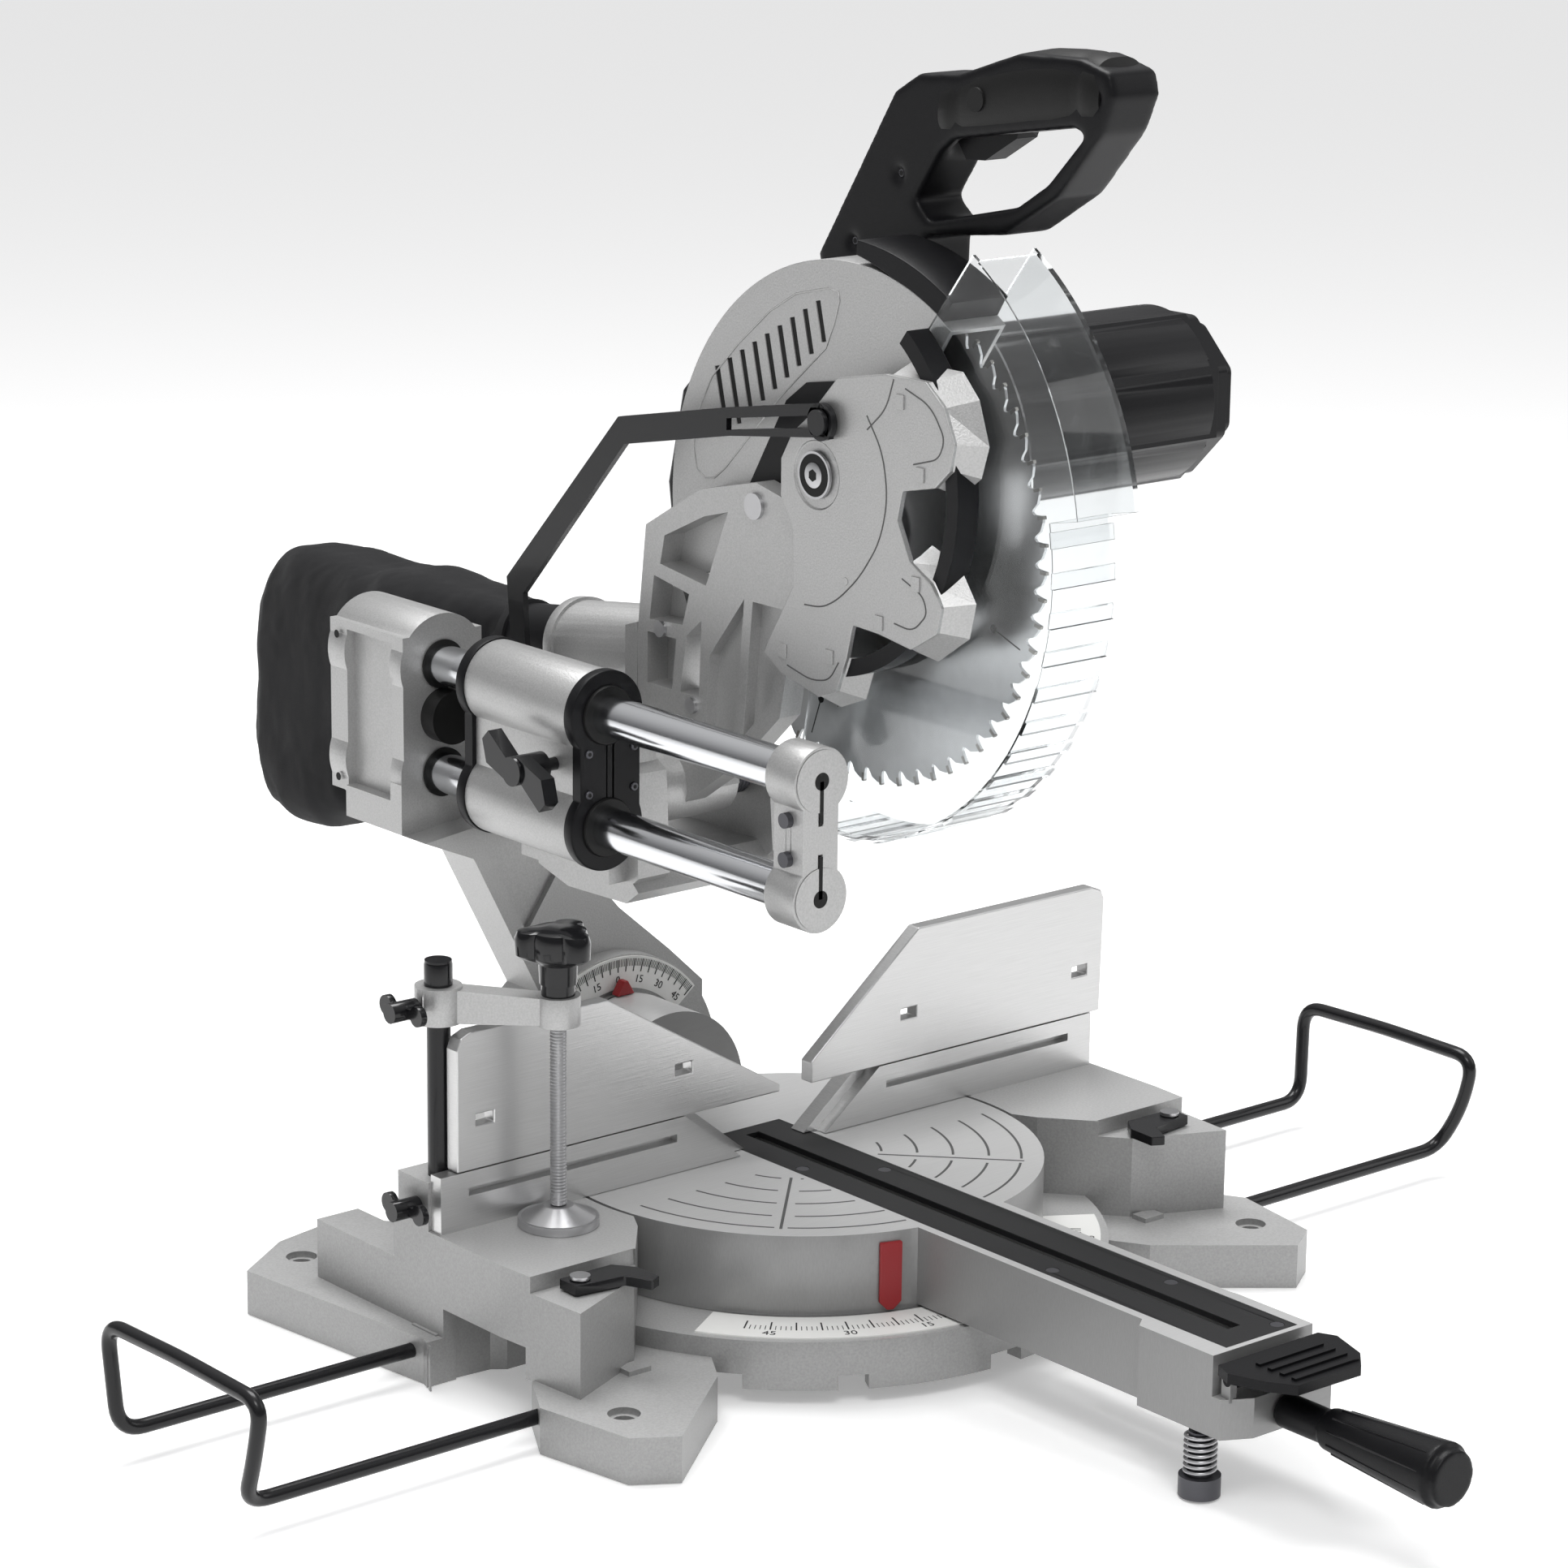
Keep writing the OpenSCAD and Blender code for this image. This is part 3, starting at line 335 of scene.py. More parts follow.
def place(origin, z_axis, x_hint=(0, 0, 1)):
    """A matrix whose local Z points along z_axis."""
    z = Vector(z_axis).normalized()
    x = Vector(x_hint) - z * Vector(x_hint).dot(z)
    if x.length < 1e-6:
        x = Vector((1, 0, 0)) - z * z.x
    x.normalize()
    y = z.cross(x)
    return Matrix(((x.x, y.x, z.x, origin[0]), (x.y, y.y, z.y, origin[1]),
                   (x.z, y.z, z.z, origin[2]), (0, 0, 0, 1)))


def about_x(centre, degrees):
    """Turns about the X axis through centre, from +Y towards +Z."""
    return (Matrix.Translation(Vector(centre)) @ Matrix.Rotation(math.radians(degrees), 4, "X"))


def tube(name, points, radius, material, body, smooth=True, cyclic=False, bevel_resolution=6):
    """A round rod through points in mm."""
    curve = bpy.data.curves.new(name, "CURVE")
    curve.dimensions = "3D"
    curve.bevel_depth = radius * MM
    curve.bevel_resolution = bevel_resolution
    curve.use_fill_caps = True
    spline = curve.splines.new("POLY")
    spline.points.add(len(points) - 1)
    for target, source in zip(spline.points, points):
        target.co = (*[c * MM for c in source], 1.0)
    spline.use_cyclic_u = cyclic
    spline.use_smooth = smooth
    obj = bpy.data.objects.new(name, curve)
    bpy.context.scene.collection.objects.link(obj)
    obj.data.materials.append(material)
    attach(obj, body)
    return obj


def rounded_path(points, radius, steps=6):
    """The same path with its corners turned into arcs."""
    path = [Vector(points[0])]
    for before, here, after in zip(points, points[1:], points[2:]):
        here = Vector(here)
        a, b = Vector(before) - here, Vector(after) - here
        cut = min(radius, a.length * 0.45, b.length * 0.45)
        start, end = here + a.normalized() * cut, here + b.normalized() * cut
        for k in range(steps + 1):
            t = k / steps
            path.append(start * (1 - t) ** 2 + here * 2 * t * (1 - t) + end * t ** 2)
    path.append(Vector(points[-1]))
    return path


def hex_head(parts, origin, axis, flats, height):
    """A hexagonal bolt head with a flat top."""
    radius = flats / math.sqrt(3)
    parts.prism([(radius * math.cos(math.radians(60 * i)), radius * math.sin(math.radians(60 * i)))
                 for i in range(6)], place(origin, axis), height)


def socket_head(parts, holes, origin, axis, radius, height):
    """A round screw head, with a near-black hex of painted shade in its top for the socket."""
    matrix = place(origin, axis)
    parts.lathe([(0.01, 0), (radius, 0), (radius, height * 0.75), (radius * 0.85, height),
                 (0.01, height)], matrix, 24)
    spot = Vector(origin) + Vector(axis).normalized() * height
    hex_head(holes, tuple(spot), axis, radius * 0.9, 0.12)


def numerals(text, matrix, height, body, name):
    """Raised figures, as a mesh, in mm."""
    curve = bpy.data.curves.new(name, "FONT")
    curve.body = text
    curve.size = height * MM
    curve.align_x = "CENTER"
    curve.align_y = "CENTER"
    curve.extrude = 0.00006
    curve.resolution_u = 3
    obj = bpy.data.objects.new(name, curve)
    bpy.context.scene.collection.objects.link(obj)
    m = matrix.copy()
    m.translation = Vector(m.translation) * MM
    obj.matrix_world = m
    bpy.context.view_layer.update()
    mesh = bpy.data.meshes.new_from_object(obj)
    mesh.transform(m)
    bpy.data.objects.remove(obj)
    figure = bpy.data.objects.new(name, mesh)
    bpy.context.scene.collection.objects.link(figure)
    mesh.materials.clear()
    mesh.materials.append(INK)
    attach(figure, body)
    return figure


# ---------------------------------------------------------------- the blade
def build_blade():
    """Sixty raked teeth with gullets, carbide tips and four expansion slots."""
    outline = []
    pitch = 2 * math.pi / TEETH
    gullet = 9.5
    for i in range(TEETH):
        a = i * pitch
        shape = [(0.00, BLADE_R - 1.0), (0.24, BLADE_R - 1.6), (0.55, BLADE_R - 4.2),
                 (0.72, BLADE_R - gullet + 1.2), (0.84, BLADE_R - gullet),
                 (0.95, BLADE_R - gullet + 1.6), (0.985, BLADE_R - 4.5)]
        for u, r in shape:
            outline.append((r * math.cos(a + u * pitch), r * math.sin(a + u * pitch)))
    n = len(outline)
    inner = 13.0
    half = 0.95
    verts, faces = [], []
    for x in (-half, half):
        verts += [(x, CENTRE[1] + u, CENTRE[2] + v) for u, v in outline]
        verts += [(x, CENTRE[1] + inner * math.cos(2 * math.pi * k / n),
                   CENTRE[2] + inner * math.sin(2 * math.pi * k / n)) for k in range(n)]
    side = 2 * n
    for k in range(n):
        j = (k + 1) % n
        faces.append((k, n + k, n + j, j))
        faces.append((side + k, side + j, side + n + j, side + n + k))
        faces.append((k, j, side + j, side + k))
        faces.append((n + k, side + n + k, side + n + j, n + j))
    blade = make("saw_blade", verts, faces, BLADE_STEEL, "spindle")
    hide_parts("blade")
    tips = Parts()
    for i in range(TEETH):
        turn = about_x(CENTRE, math.degrees(i * pitch) + 0.25)
        tips.box((-1.15, BLADE_R - 5.2, -0.6), (1.15, BLADE_R - 0.1, 1.3), turn)
    tips.make("carbide_tips", CARBIDE, "spindle", slot="blade_steel")
    # The expansion slots and their end holes are thin near-black marks on both faces: painted
    # shade standing in for the openings.
    slots = Parts()
    for k in range(4):
        turn = about_x(CENTRE, 20 + 90 * k)
        for x in (-half - 0.06, half):
            slots.box((x, 118, -0.45), (x + 0.06, 141, 0.45), turn)
        for x in (-half - 0.08, half):
            hole = turn @ place((x, 117, 0), (1, 0, 0))
            slots.lathe([(0.01, 0), (2.6, 0), (2.6, 0.08), (0.01, 0.08)], hole, 20)
    slots.make("expansion_slots", RECESS_SHADE, "spindle")
    nut = Parts()
    hex_head(nut, (-16.0, CENTRE[1], CENTRE[2]), (-1, 0, 0), 16, 1.6)
    nut.make("arbor_bolt_head", STEEL, "spindle", slot="dark_steel")


# ---------------------------------------------------------------- scales
def build_mitre_scale():
    """Degree ticks and figures on the white band in front of the table."""
    ticks = Parts()
    top = 40.85
    for degree in range(-50, 51):
        if degree % 5 == 0:
            inner, width = 164.0, 0.9
        else:
            inner, width = 170.0, 0.45
        turn = (Matrix.Translation(Vector((MITRE[0], MITRE[1], 0)))
                @ Matrix.Rotation(math.radians(degree), 4, "Z"))
        ticks.box((-width / 2, -176.0, top), (width / 2, -inner, top + 0.12), turn)
    ticks.make("mitre_ticks", INK, "base")
    for degree in FIGURES:
        turn = (Matrix.Translation(Vector((MITRE[0], MITRE[1], 0)))
                @ Matrix.Rotation(math.radians(degree), 4, "Z"))
        spot = turn @ Vector((0, -181.5, top))
        matrix = Matrix.Translation(spot) @ Matrix.Rotation(math.radians(degree), 4, "Z")
        numerals(str(abs(degree)), matrix, 8.5, "base", "mitre_figure_%d" % (degree + 90))


def build_bevel_scale():
    """Ticks and figures on the bevel arc, seen from the front."""
    ticks = Parts()
    face = 165.7
    for degree in range(-50, 51):
        inner, width = (71.0, 0.8) if degree % 5 == 0 else (74.5, 0.4)
        turn = (Matrix.Translation(Vector((0, 0, BEVEL_Z)))
                @ Matrix.Rotation(math.radians(degree), 4, "Y"))
        ticks.box((-width / 2, face - 0.1, inner), (width / 2, face, 79.5), turn)
    ticks.make("bevel_ticks", INK, "bevel_arm")
    for degree in FIGURES:
        a = math.radians(degree)
        spot = (66 * math.sin(a), face - 0.05, BEVEL_Z + 66 * math.cos(a))
        matrix = (Matrix.Translation(Vector(spot)) @ Matrix.Rotation(a, 4, "Y")
                  @ Matrix.Rotation(math.radians(90), 4, "X"))
        numerals(str(abs(degree)), matrix, 7.0, "bevel_arm", "bevel_figure_%d" % (degree + 90))


# ---------------------------------------------------------------- lower guard
def lobe_skirt(parts, inner, outer, x_face=-42.6, x_back=-27.0, thick=2.0):
    """A bent edge that runs from the hub plate back towards the blade."""
    verts, faces = [], []
    for (y0, z0), (y1, z1) in zip(inner, outer):
        verts += [(x_face, y0, z0), (x_back, y1, z1), (x_back, y1 * 0.985 + GUARD_PIVOT[1] * 0.015,
                   z1 * 0.985 + GUARD_PIVOT[2] * 0.015), (x_face + thick, y0, z0)]
    for k in range(len(inner) - 1):
        a, b = 4 * k, 4 * k + 4
        for m in range(4):
            n = (m + 1) % 4
            faces.append((a + m, b + m, b + n, a + n))
    last = 4 * (len(inner) - 1)
    faces += [(0, 1, 2, 3), (last + 3, last + 2, last + 1, last)]
    parts.add(verts, faces)


def build_guard_details():
    """Ridges across the clear rim, the hub plate's skirts and rivets, and its bolt."""
    ribs = Parts()
    for i in range(15):
        turn = about_x(CENTRE, 172 + i * 7.2)
        ribs.box((-24.2, 180.4, -4.6), (24.2, 182.8, 4.6), turn)
    ribs.make("guard_ribs", CLEAR, "lower_guard", slot="clear_plastic")
    skirts = Parts()
    lobe_skirt(skirts,
               [(-136, 593), (-167, 593), (-181, 581), (-191, 562), (-187, 547), (-175, 536)],
               [(-137, 600), (-180, 600), (-194, 586), (-203, 561), (-197, 542), (-180, 529)])
    lobe_skirt(skirts,
               [(-156, 489), (-173, 479), (-183, 468), (-179, 453), (-158, 440), (-138, 443)],
               [(-158, 497), (-181, 489), (-195, 470), (-190, 449), (-164, 431), (-138, 434)])
    lobe_skirt(skirts, [(-102, 424), (-93, 403), (-78, 397), (-44, 405), (-29, 414)],
               [(-111, 421), (-102, 397), (-80, 388), (-42, 396), (-24, 408)])
    skirts.make("hub_skirts", CAST, "lower_guard", slot="cast_aluminium")
    rivets = Parts()
    for y, z in ((-146, 580), (-164, 541), (-162, 478), (-131, 450), (-88, 422), (-46, 418)):
        rivets.box((-44.5, y - 3.4, z - 4.2), (-43.3, y + 3.4, z + 4.2))
    rivets.lathe([(0.01, 0), (2.4, 0), (2.4, 0.5), (0.01, 0.5)],
                 place((-43.3, -101, 469), (-1, 0, 0)), 20)
    pins = rivets.make("hub_rivets", CAST, "lower_guard", slot="cast_aluminium")
    round_edges(pins, 0.9)
    # Thin dark tubes along the creases of the hub plate: painted shade lines.
    lines = (("crescent", [(-117.5, 568), (-131.5, 549), (-136.7, 523), (-130.5, 497),
                           (-113, 473), (-95, 457.5), (-81, 450), (-65, 449)]),
             ("lobe_a", [(-150, 588), (-172, 581), (-184, 564), (-179, 552), (-158, 546)]),
             ("lobe_b", [(-150, 479), (-168, 472), (-172, 462), (-160, 450), (-144, 452)]),
             ("lobe_c", [(-96, 420), (-88, 408), (-72, 405), (-50, 410)]),
             ("lobe_d", [(-118, 560), (-134, 574), (-140, 592)]))
    for label, points in lines:
        path = rounded_path([(-43.4, y, z) for y, z in points], 14)
        tube("hub_line_" + label, path, 0.45, GROOVE_SHADE, "lower_guard")
    # The near-black hex in the bolt and the ring round its head are painted shade in those
    # recesses.
    bolt, holes = Parts(), Parts()
    matrix = place((-45.4, GUARD_PIVOT[1], GUARD_PIVOT[2]), (-1, 0, 0))
    bolt.lathe([(0.01, 0), (7.5, 0), (7.5, 0.5), (6.3, 0.9), (0.01, 0.9)], matrix, 32)
    hex_head(holes, (-46.3, GUARD_PIVOT[1], GUARD_PIVOT[2]), (-1, 0, 0), 6.5, 0.05)
    holes.lathe([(8.4, 0), (12.6, 0), (12.6, 0.08), (8.4, 0.08)], matrix, 40)
    bolt.make("guard_pivot_head", STEEL, "head", smooth=True, slot="dark_steel")
    holes.make("guard_pivot_socket", RECESS_SHADE, "head")
    ends = Parts()
    for y, z in ((-84, 560), (197, 331)):
        ends.lathe([(5.3, 0), (11, 0), (11, 4), (5.3, 4)], place((-50, y, z), (1, 0, 0)), 36)
    ends.make("link_eyes", PAINT, "link", smooth=True, slot="black_paint")


def build_shroud_details():
    """The raised border round the vents, black plates of painted shadow behind them and the plate
    beside the hub.
    """
    border = [(-55.7, 631), (-65, 630), (-66.5, 625), (-62, 611), (-55, 596), (-36, 580),
              (-12, 559.5), (36, 511.5), (46, 504), (55, 502.5), (63, 507), (66, 520),
              (64, 539), (49, 565), (24, 588.5), (-4, 611), (-28, 624.5)]
    tube("vent_border", [(-21.1, y, z) for y, z in border], 0.55, CAST, "head", cyclic=True)
    plate = Parts()
    outline = [(-76, 580), (-40, 574), (-22, 561), (17, 496), (-2, 487), (-34, 489), (-45, 520),
               (-58, 556)]
    side_on = Matrix(((0, 0, 1, -22.9), (1, 0, 0, 0), (0, 1, 0, 0), (0, 0, 0, 1)))
    plate.prism(outline[::-1], side_on, 1.9)
    plate.make("hub_back_plate", PLASTIC, "head", slot="black_plastic")
    # Painted shadow: near-black plates just inside the vent slots.
    shadows = Parts()
    for i in range(9):
        turn = about_x((0, -50 + i * 11.2, 611 - i * 7.4), -14)
        half = 11.8 + i * 1.1
        shadows.box((-20.2, -2.1, -half), (-20.0, 2.1, half), turn)
    shadows.make("vent_shadows", RECESS_SHADE, "head")


def build_table_details():
    """Grooves in the turntable's top, drawn as thin dark strips of painted shade."""
    cuts = Parts()
    top = TABLE_Z
    for side in (-1, 1):
        ray = 270 + side * 44
        for radius in (52, 74, 96, 118, 138):
            low, high = (186, 266) if side < 0 else (274, 354)
            steps = 48
            for k in range(steps):
                a = low + (high - low) * k / steps
                b = low + (high - low) * (k + 1) / steps
                mid = math.radians((a + b) / 2)
                x, y = radius * math.cos(mid), radius * math.sin(mid)
                if y > -18 or (-30 < x < 34) or abs((a + b) / 2 - ray) * radius < 340:
                    continue
                turn = (Matrix.Translation(Vector((MITRE[0], MITRE[1], 0)))
                        @ Matrix.Rotation(mid, 4, "Z"))
                half = radius * math.radians(b - a) / 2 + 0.1
                cuts.box((radius - 0.8, -half, top), (radius + 0.8, half, top + 0.05), turn)
        turn = (Matrix.Translation(Vector((MITRE[0], MITRE[1], 0)))
                @ Matrix.Rotation(math.radians(ray), 4, "Z"))
        cuts.box((50, -0.9, top), (140, 0.9, top + 0.06), turn)
    cuts.make("table_grooves", GROOVE_SHADE, "turntable")


def build_bracket_details():
    """The closed front of the rail bracket, with a keyhole slot for each rail."""
    faces, holes = Parts(), Parts()
    for z, way in zip(RAIL_Z, (1, -1)):
        faces.lathe([(0.01, 0), (17.8, 0), (18.3, 0.25), (18.3, 0.5), (0.01, 0.5)],
                    place((RAIL_X, -160.0, z), (0, -1, 0)), 48)
        holes.lathe([(0.01, 0), (5.2, 0), (5.2, 0.06), (0.01, 0.06)],
                    place((RAIL_X, -160.5, z), (0, -1, 0)), 28)
        low, high = sorted((z, z + way * 25))
        holes.box((-111.4, -160.56, low), (-108.6, -160.5, high))
    faces.make("bracket_faces", CAST, "bevel_arm", smooth=True, slot="cast_aluminium")
    # The round holes and slots are near-black discs and strips: painted shade in the openings.
    holes.make("bracket_keyholes", RECESS_SHADE, "bevel_arm")


def build_wires():
    """The two bent-wire work supports, each one round rod."""
    corners = [(205, 13, 18), (474, 13, 18), (478, 16, 84), (478, -60, 86),
               (478, -138, 85), (478, -130, 50), (474, -114, 18), (205, -114, 18)]
    for sign, label in ((1, "right"), (-1, "left")):
        path = rounded_path([(sign * x, y, z) for x, y, z in corners], 17, 8)
        rod = tube("support_wire_" + label, path, 4.5, PAINT, "wire_" + label, bevel_resolution=5)
        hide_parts("side_wire_" + label)


# ---------------------------------------------------------------- head
def build_motor_details():
    """Vents and brush caps on the motor barrel."""
    slots = Parts()
    for side in range(8):
        turn = about_x(MOTOR, 45 * side)
        for k in range(6):
            x = 206 + 4.6 * k
            slots.box((x, 50.9, -14), (x + 2.2, 51.2, 14), turn)
    # The vent slots are thin near-black strips on the barrel: painted shade standing in for the
    # openings.
    slots.make("motor_vents", RECESS_SHADE, "head")
    brush = Parts()
    for sign in (-1, 1):
        spot = (214, MOTOR[1] + sign * 35.6, MOTOR[2] - 35.6)
        brush.lathe([(0.01, 0), (9, 0), (9, 1.6), (7.5, 2.4), (0.01, 2.4)],
                    place(spot, (0, sign, -1)), 28)
    brush.make("brush_caps", PLASTIC, "head", smooth=True, slot="black_plastic")


def build_handle_details():
    """Side screws and the soft sleeve on the grip, with its two end collars."""
    heads, holes = Parts(), Parts()
    for y, z in ((-60, 694), (-222, 752), (-20, 650)):
        socket_head(heads, holes, (31.9, y, z), (-1, 0, 0), 3.3, 1.6)
    # y, z, half width, height above and below the spine
    sleeve_spine = [(-93, 731, 19.0, 17.0, 10), (-96, 733, 21.2, 20.0, 12),
                    (-104, 735.5, 21.4, 20.6, 14), (-108, 736.5, 20.0, 19.8, 14),
                    (-114, 738, 21.0, 20.6, 15),
                    (-130, 742, 21.5, 22.4, 16), (-150, 746, 21.5, 24.4, 17),
                    (-170, 749.5, 21.5, 24.8, 17), (-188, 752, 21.5, 23.4, 17),
                    (-202, 753.5, 21.0, 22.0, 16), (-208, 754, 20.0, 20.8, 15),
                    (-212, 754, 21.4, 21.6, 15), (-221, 753.5, 21.2, 20.4, 14),
                    (-225, 752, 19.0, 17.0, 11)]
    verts, faces, ring = [], [], 44
    for y, z, wide, above, below in sleeve_spine:
        for k in range(ring - 4):
            a = math.radians(-40 + 260 * k / (ring - 5))
            ca, sa = math.cos(a), math.sin(a)
            x = math.copysign(abs(ca) ** 0.7, ca) * wide
            rise = math.copysign(abs(sa) ** 0.9, sa) * (above if sa > 0 else below / 0.68)
            verts.append((47 + x, y, z + rise))
        verts += [(47 - 13, y, z - below), (47 - 13, y, z + 5), (47 + 13, y, z + 5),
                  (47 + 13, y, z - below)]
    for r in range(len(sleeve_spine) - 1):
        for k in range(ring):
            n = (k + 1) % ring
            faces.append((r * ring + k, r * ring + n, (r + 1) * ring + n, (r + 1) * ring + k))
    faces.append(tuple(range(ring))[::-1])
    faces.append(tuple(range((len(sleeve_spine) - 1) * ring, len(sleeve_spine) * ring)))
    make("grip_sleeve", verts, faces, RUBBER, "head", smooth=True)
    heads.make("handle_screws", DARK_STEEL, "head", smooth=True, slot="dark_steel")
    # The screw sockets are near-black hexes of painted shade.
    holes.make("handle_screw_sockets", RECESS_SHADE, "head")


def build_carriage_details():
    """Screws in the end plates, rings round the rails and grub holes in the rail housing."""
    heads, holes = Parts(), Parts()
    for z in (326, 351):
        for x in (-124, -90):
            socket_head(heads, holes, (x, 36, z), (0, -1, 0), 2.6, 1.4)
    heads.make("end_plate_screws", DARK_STEEL, "carriage", smooth=True, slot="dark_steel")
    # The screw sockets are near-black hexes of painted shade.
    holes.make("end_plate_sockets", RECESS_SHADE, "carriage")
    wipers = Parts()
    for z in RAIL_Z:
        wipers.lathe([(13.0, 0), (17.5, 0), (18.2, 1.0), (18.2, 2.2), (13.0, 2.2)],
                     place((RAIL_X, 33.9, z), (0, 1, 0)), 48)
    wipers.make("rail_wipers", RUBBER, "carriage", smooth=True, slot="black_rubber")
    boss = Parts()
    for z in RAIL_Z:
        boss.lathe([(13.2, 0), (15.5, 0), (15.5, 1.2), (13.2, 1.2)],
                   place((RAIL_X, 200.6, z), (0, 1, 0)), 48)
    boss.make("housing_rings", RUBBER, "bevel_arm", smooth=True, slot="black_rubber")
    # The grub holes are near-black dots of painted shade.
    dots = Parts()
    for z in (292, 384):
        dots.lathe([(0.01, 0), (2.6, 0), (2.6, 0.1), (0.01, 0.1)],
                   place((-142.05, 270, z), (-1, 0, 0)), 16)
    dots.make("housing_grub_holes", RECESS_SHADE, "bevel_arm")


# ---------------------------------------------------------------- controls
def helix(centre, axis, radius, start, length, turns, steps=24):
    """Points of a coil about an axis through centre."""
    matrix = place(centre, axis)
    total = int(turns * steps)
    return [matrix @ Vector((radius * math.cos(2 * math.pi * i / steps),
                             radius * math.sin(2 * math.pi * i / steps),
                             start + length * i / total)) for i in range(total + 1)]


def build_springs():
    tube("foot_spring", helix((-31, -398, 0), (0, 0, 1), 8.6, 14, 24, 7), 1.1, STEEL, "foot_screw")
    coil = tube("return_spring", helix((0, 75, 312), (1, 0, 0), 14, 8, 13, 4.5), 1.6,
                DARK_STEEL, "carriage")
    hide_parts("torsion_spring")


def build_clamp_details():
    """Thread on the clamp screw, its lobed knob and sleeve, and a cap on the post."""
    thread = Parts()
    profile = [(0.01, 0)]
    pitch = 2.0
    for i in range(66):
        profile += [(4.55, i * pitch), (5.0, i * pitch + pitch / 2)]
    profile += [(4.55, 66 * pitch), (0.01, 66 * pitch)]
    thread.lathe(profile, place((SCREW[0], SCREW[1], 102.6), (0, 0, 1)), 24)
    screw = thread.make("clamp_thread", STEEL, "clamp_spindle", slot="dark_steel")
    knob = Parts()
    outline = []
    for i in range(120):
        a = 2 * math.pi * i / 120
        reach = 17.5 + 8.0 * max(0.0, math.cos(3 * (a - math.radians(30)))) ** 0.7
        outline.append((a, reach))
    layers = [(238, 11, 0), (250, 11.5, 0), (252, 13, 0.2), (254, 15, 0.75), (256, 16, 0.95),
              (266, 16, 1.0), (270, 15, 0.92), (271.2, 12, 0.7)]
    verts, faces = [], []
    for z, core, lobes in layers:
        for a, reach in outline:
            r = core + (reach - 16) * lobes if lobes else core
            verts.append((SCREW[0] + r * math.cos(a), SCREW[1] + r * math.sin(a), z))
    n = len(outline)
    for k in range(len(layers) - 1):
        for i in range(n):
            j = (i + 1) % n
            faces.append((k * n + i, k * n + j, (k + 1) * n + j, (k + 1) * n + i))
    faces.append(tuple(range(n))[::-1])
    faces.append(tuple(range((len(layers) - 1) * n, len(layers) * n)))
    knob.add(verts, faces)
    head = knob.make("clamp_knob", GLOSS, "clamp_spindle", smooth=True, slot="gloss_black")
    collar = Parts()
    collar.lathe([(0.01, 0), (10, 0), (10, 6.8), (0.01, 6.8)],
                 place((SCREW[0], SCREW[1], 231.1), (0, 0, 1)), 32)
    collar.make("clamp_sleeve", GLOSS, "clamp_spindle", smooth=True, slot="gloss_black")
    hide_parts("clamp_screw")
    cap = Parts()
    cap.lathe([(0.01, 0), (8.4, 0), (8.4, 12.5), (7.6, 14.8), (0.01, 14.9)],
              place((-247, 19, 236.4), (0, 0, 1)), 32)
    cap.make("post_cap", GLOSS, "post", smooth=True, slot="gloss_black")


def build_grip_details():
    """Raised flutes round the mitre grip."""
    flutes = Parts()
    for k in range(10):
        turn = (Matrix.Translation(Vector((0, 0, 54)))
                @ Matrix.Rotation(math.radians(36 * k), 4, "Y"))
        low, high = 12.4, 18.3
        verts = [(-1.6, -474, low - 1), (1.6, -474, low - 1), (0, -474, low + 1.0),
                 (-2.2, -545, high - 1), (2.2, -545, high - 1), (0, -545, high + 0.5)]
        flutes.add([turn @ Vector(v) for v in verts],
                   [(0, 1, 2), (3, 5, 4), (0, 3, 4, 1), (1, 4, 5, 2), (2, 5, 3, 0)])
    flutes.make("grip_flutes", PLASTIC, "grip", slot="black_plastic")


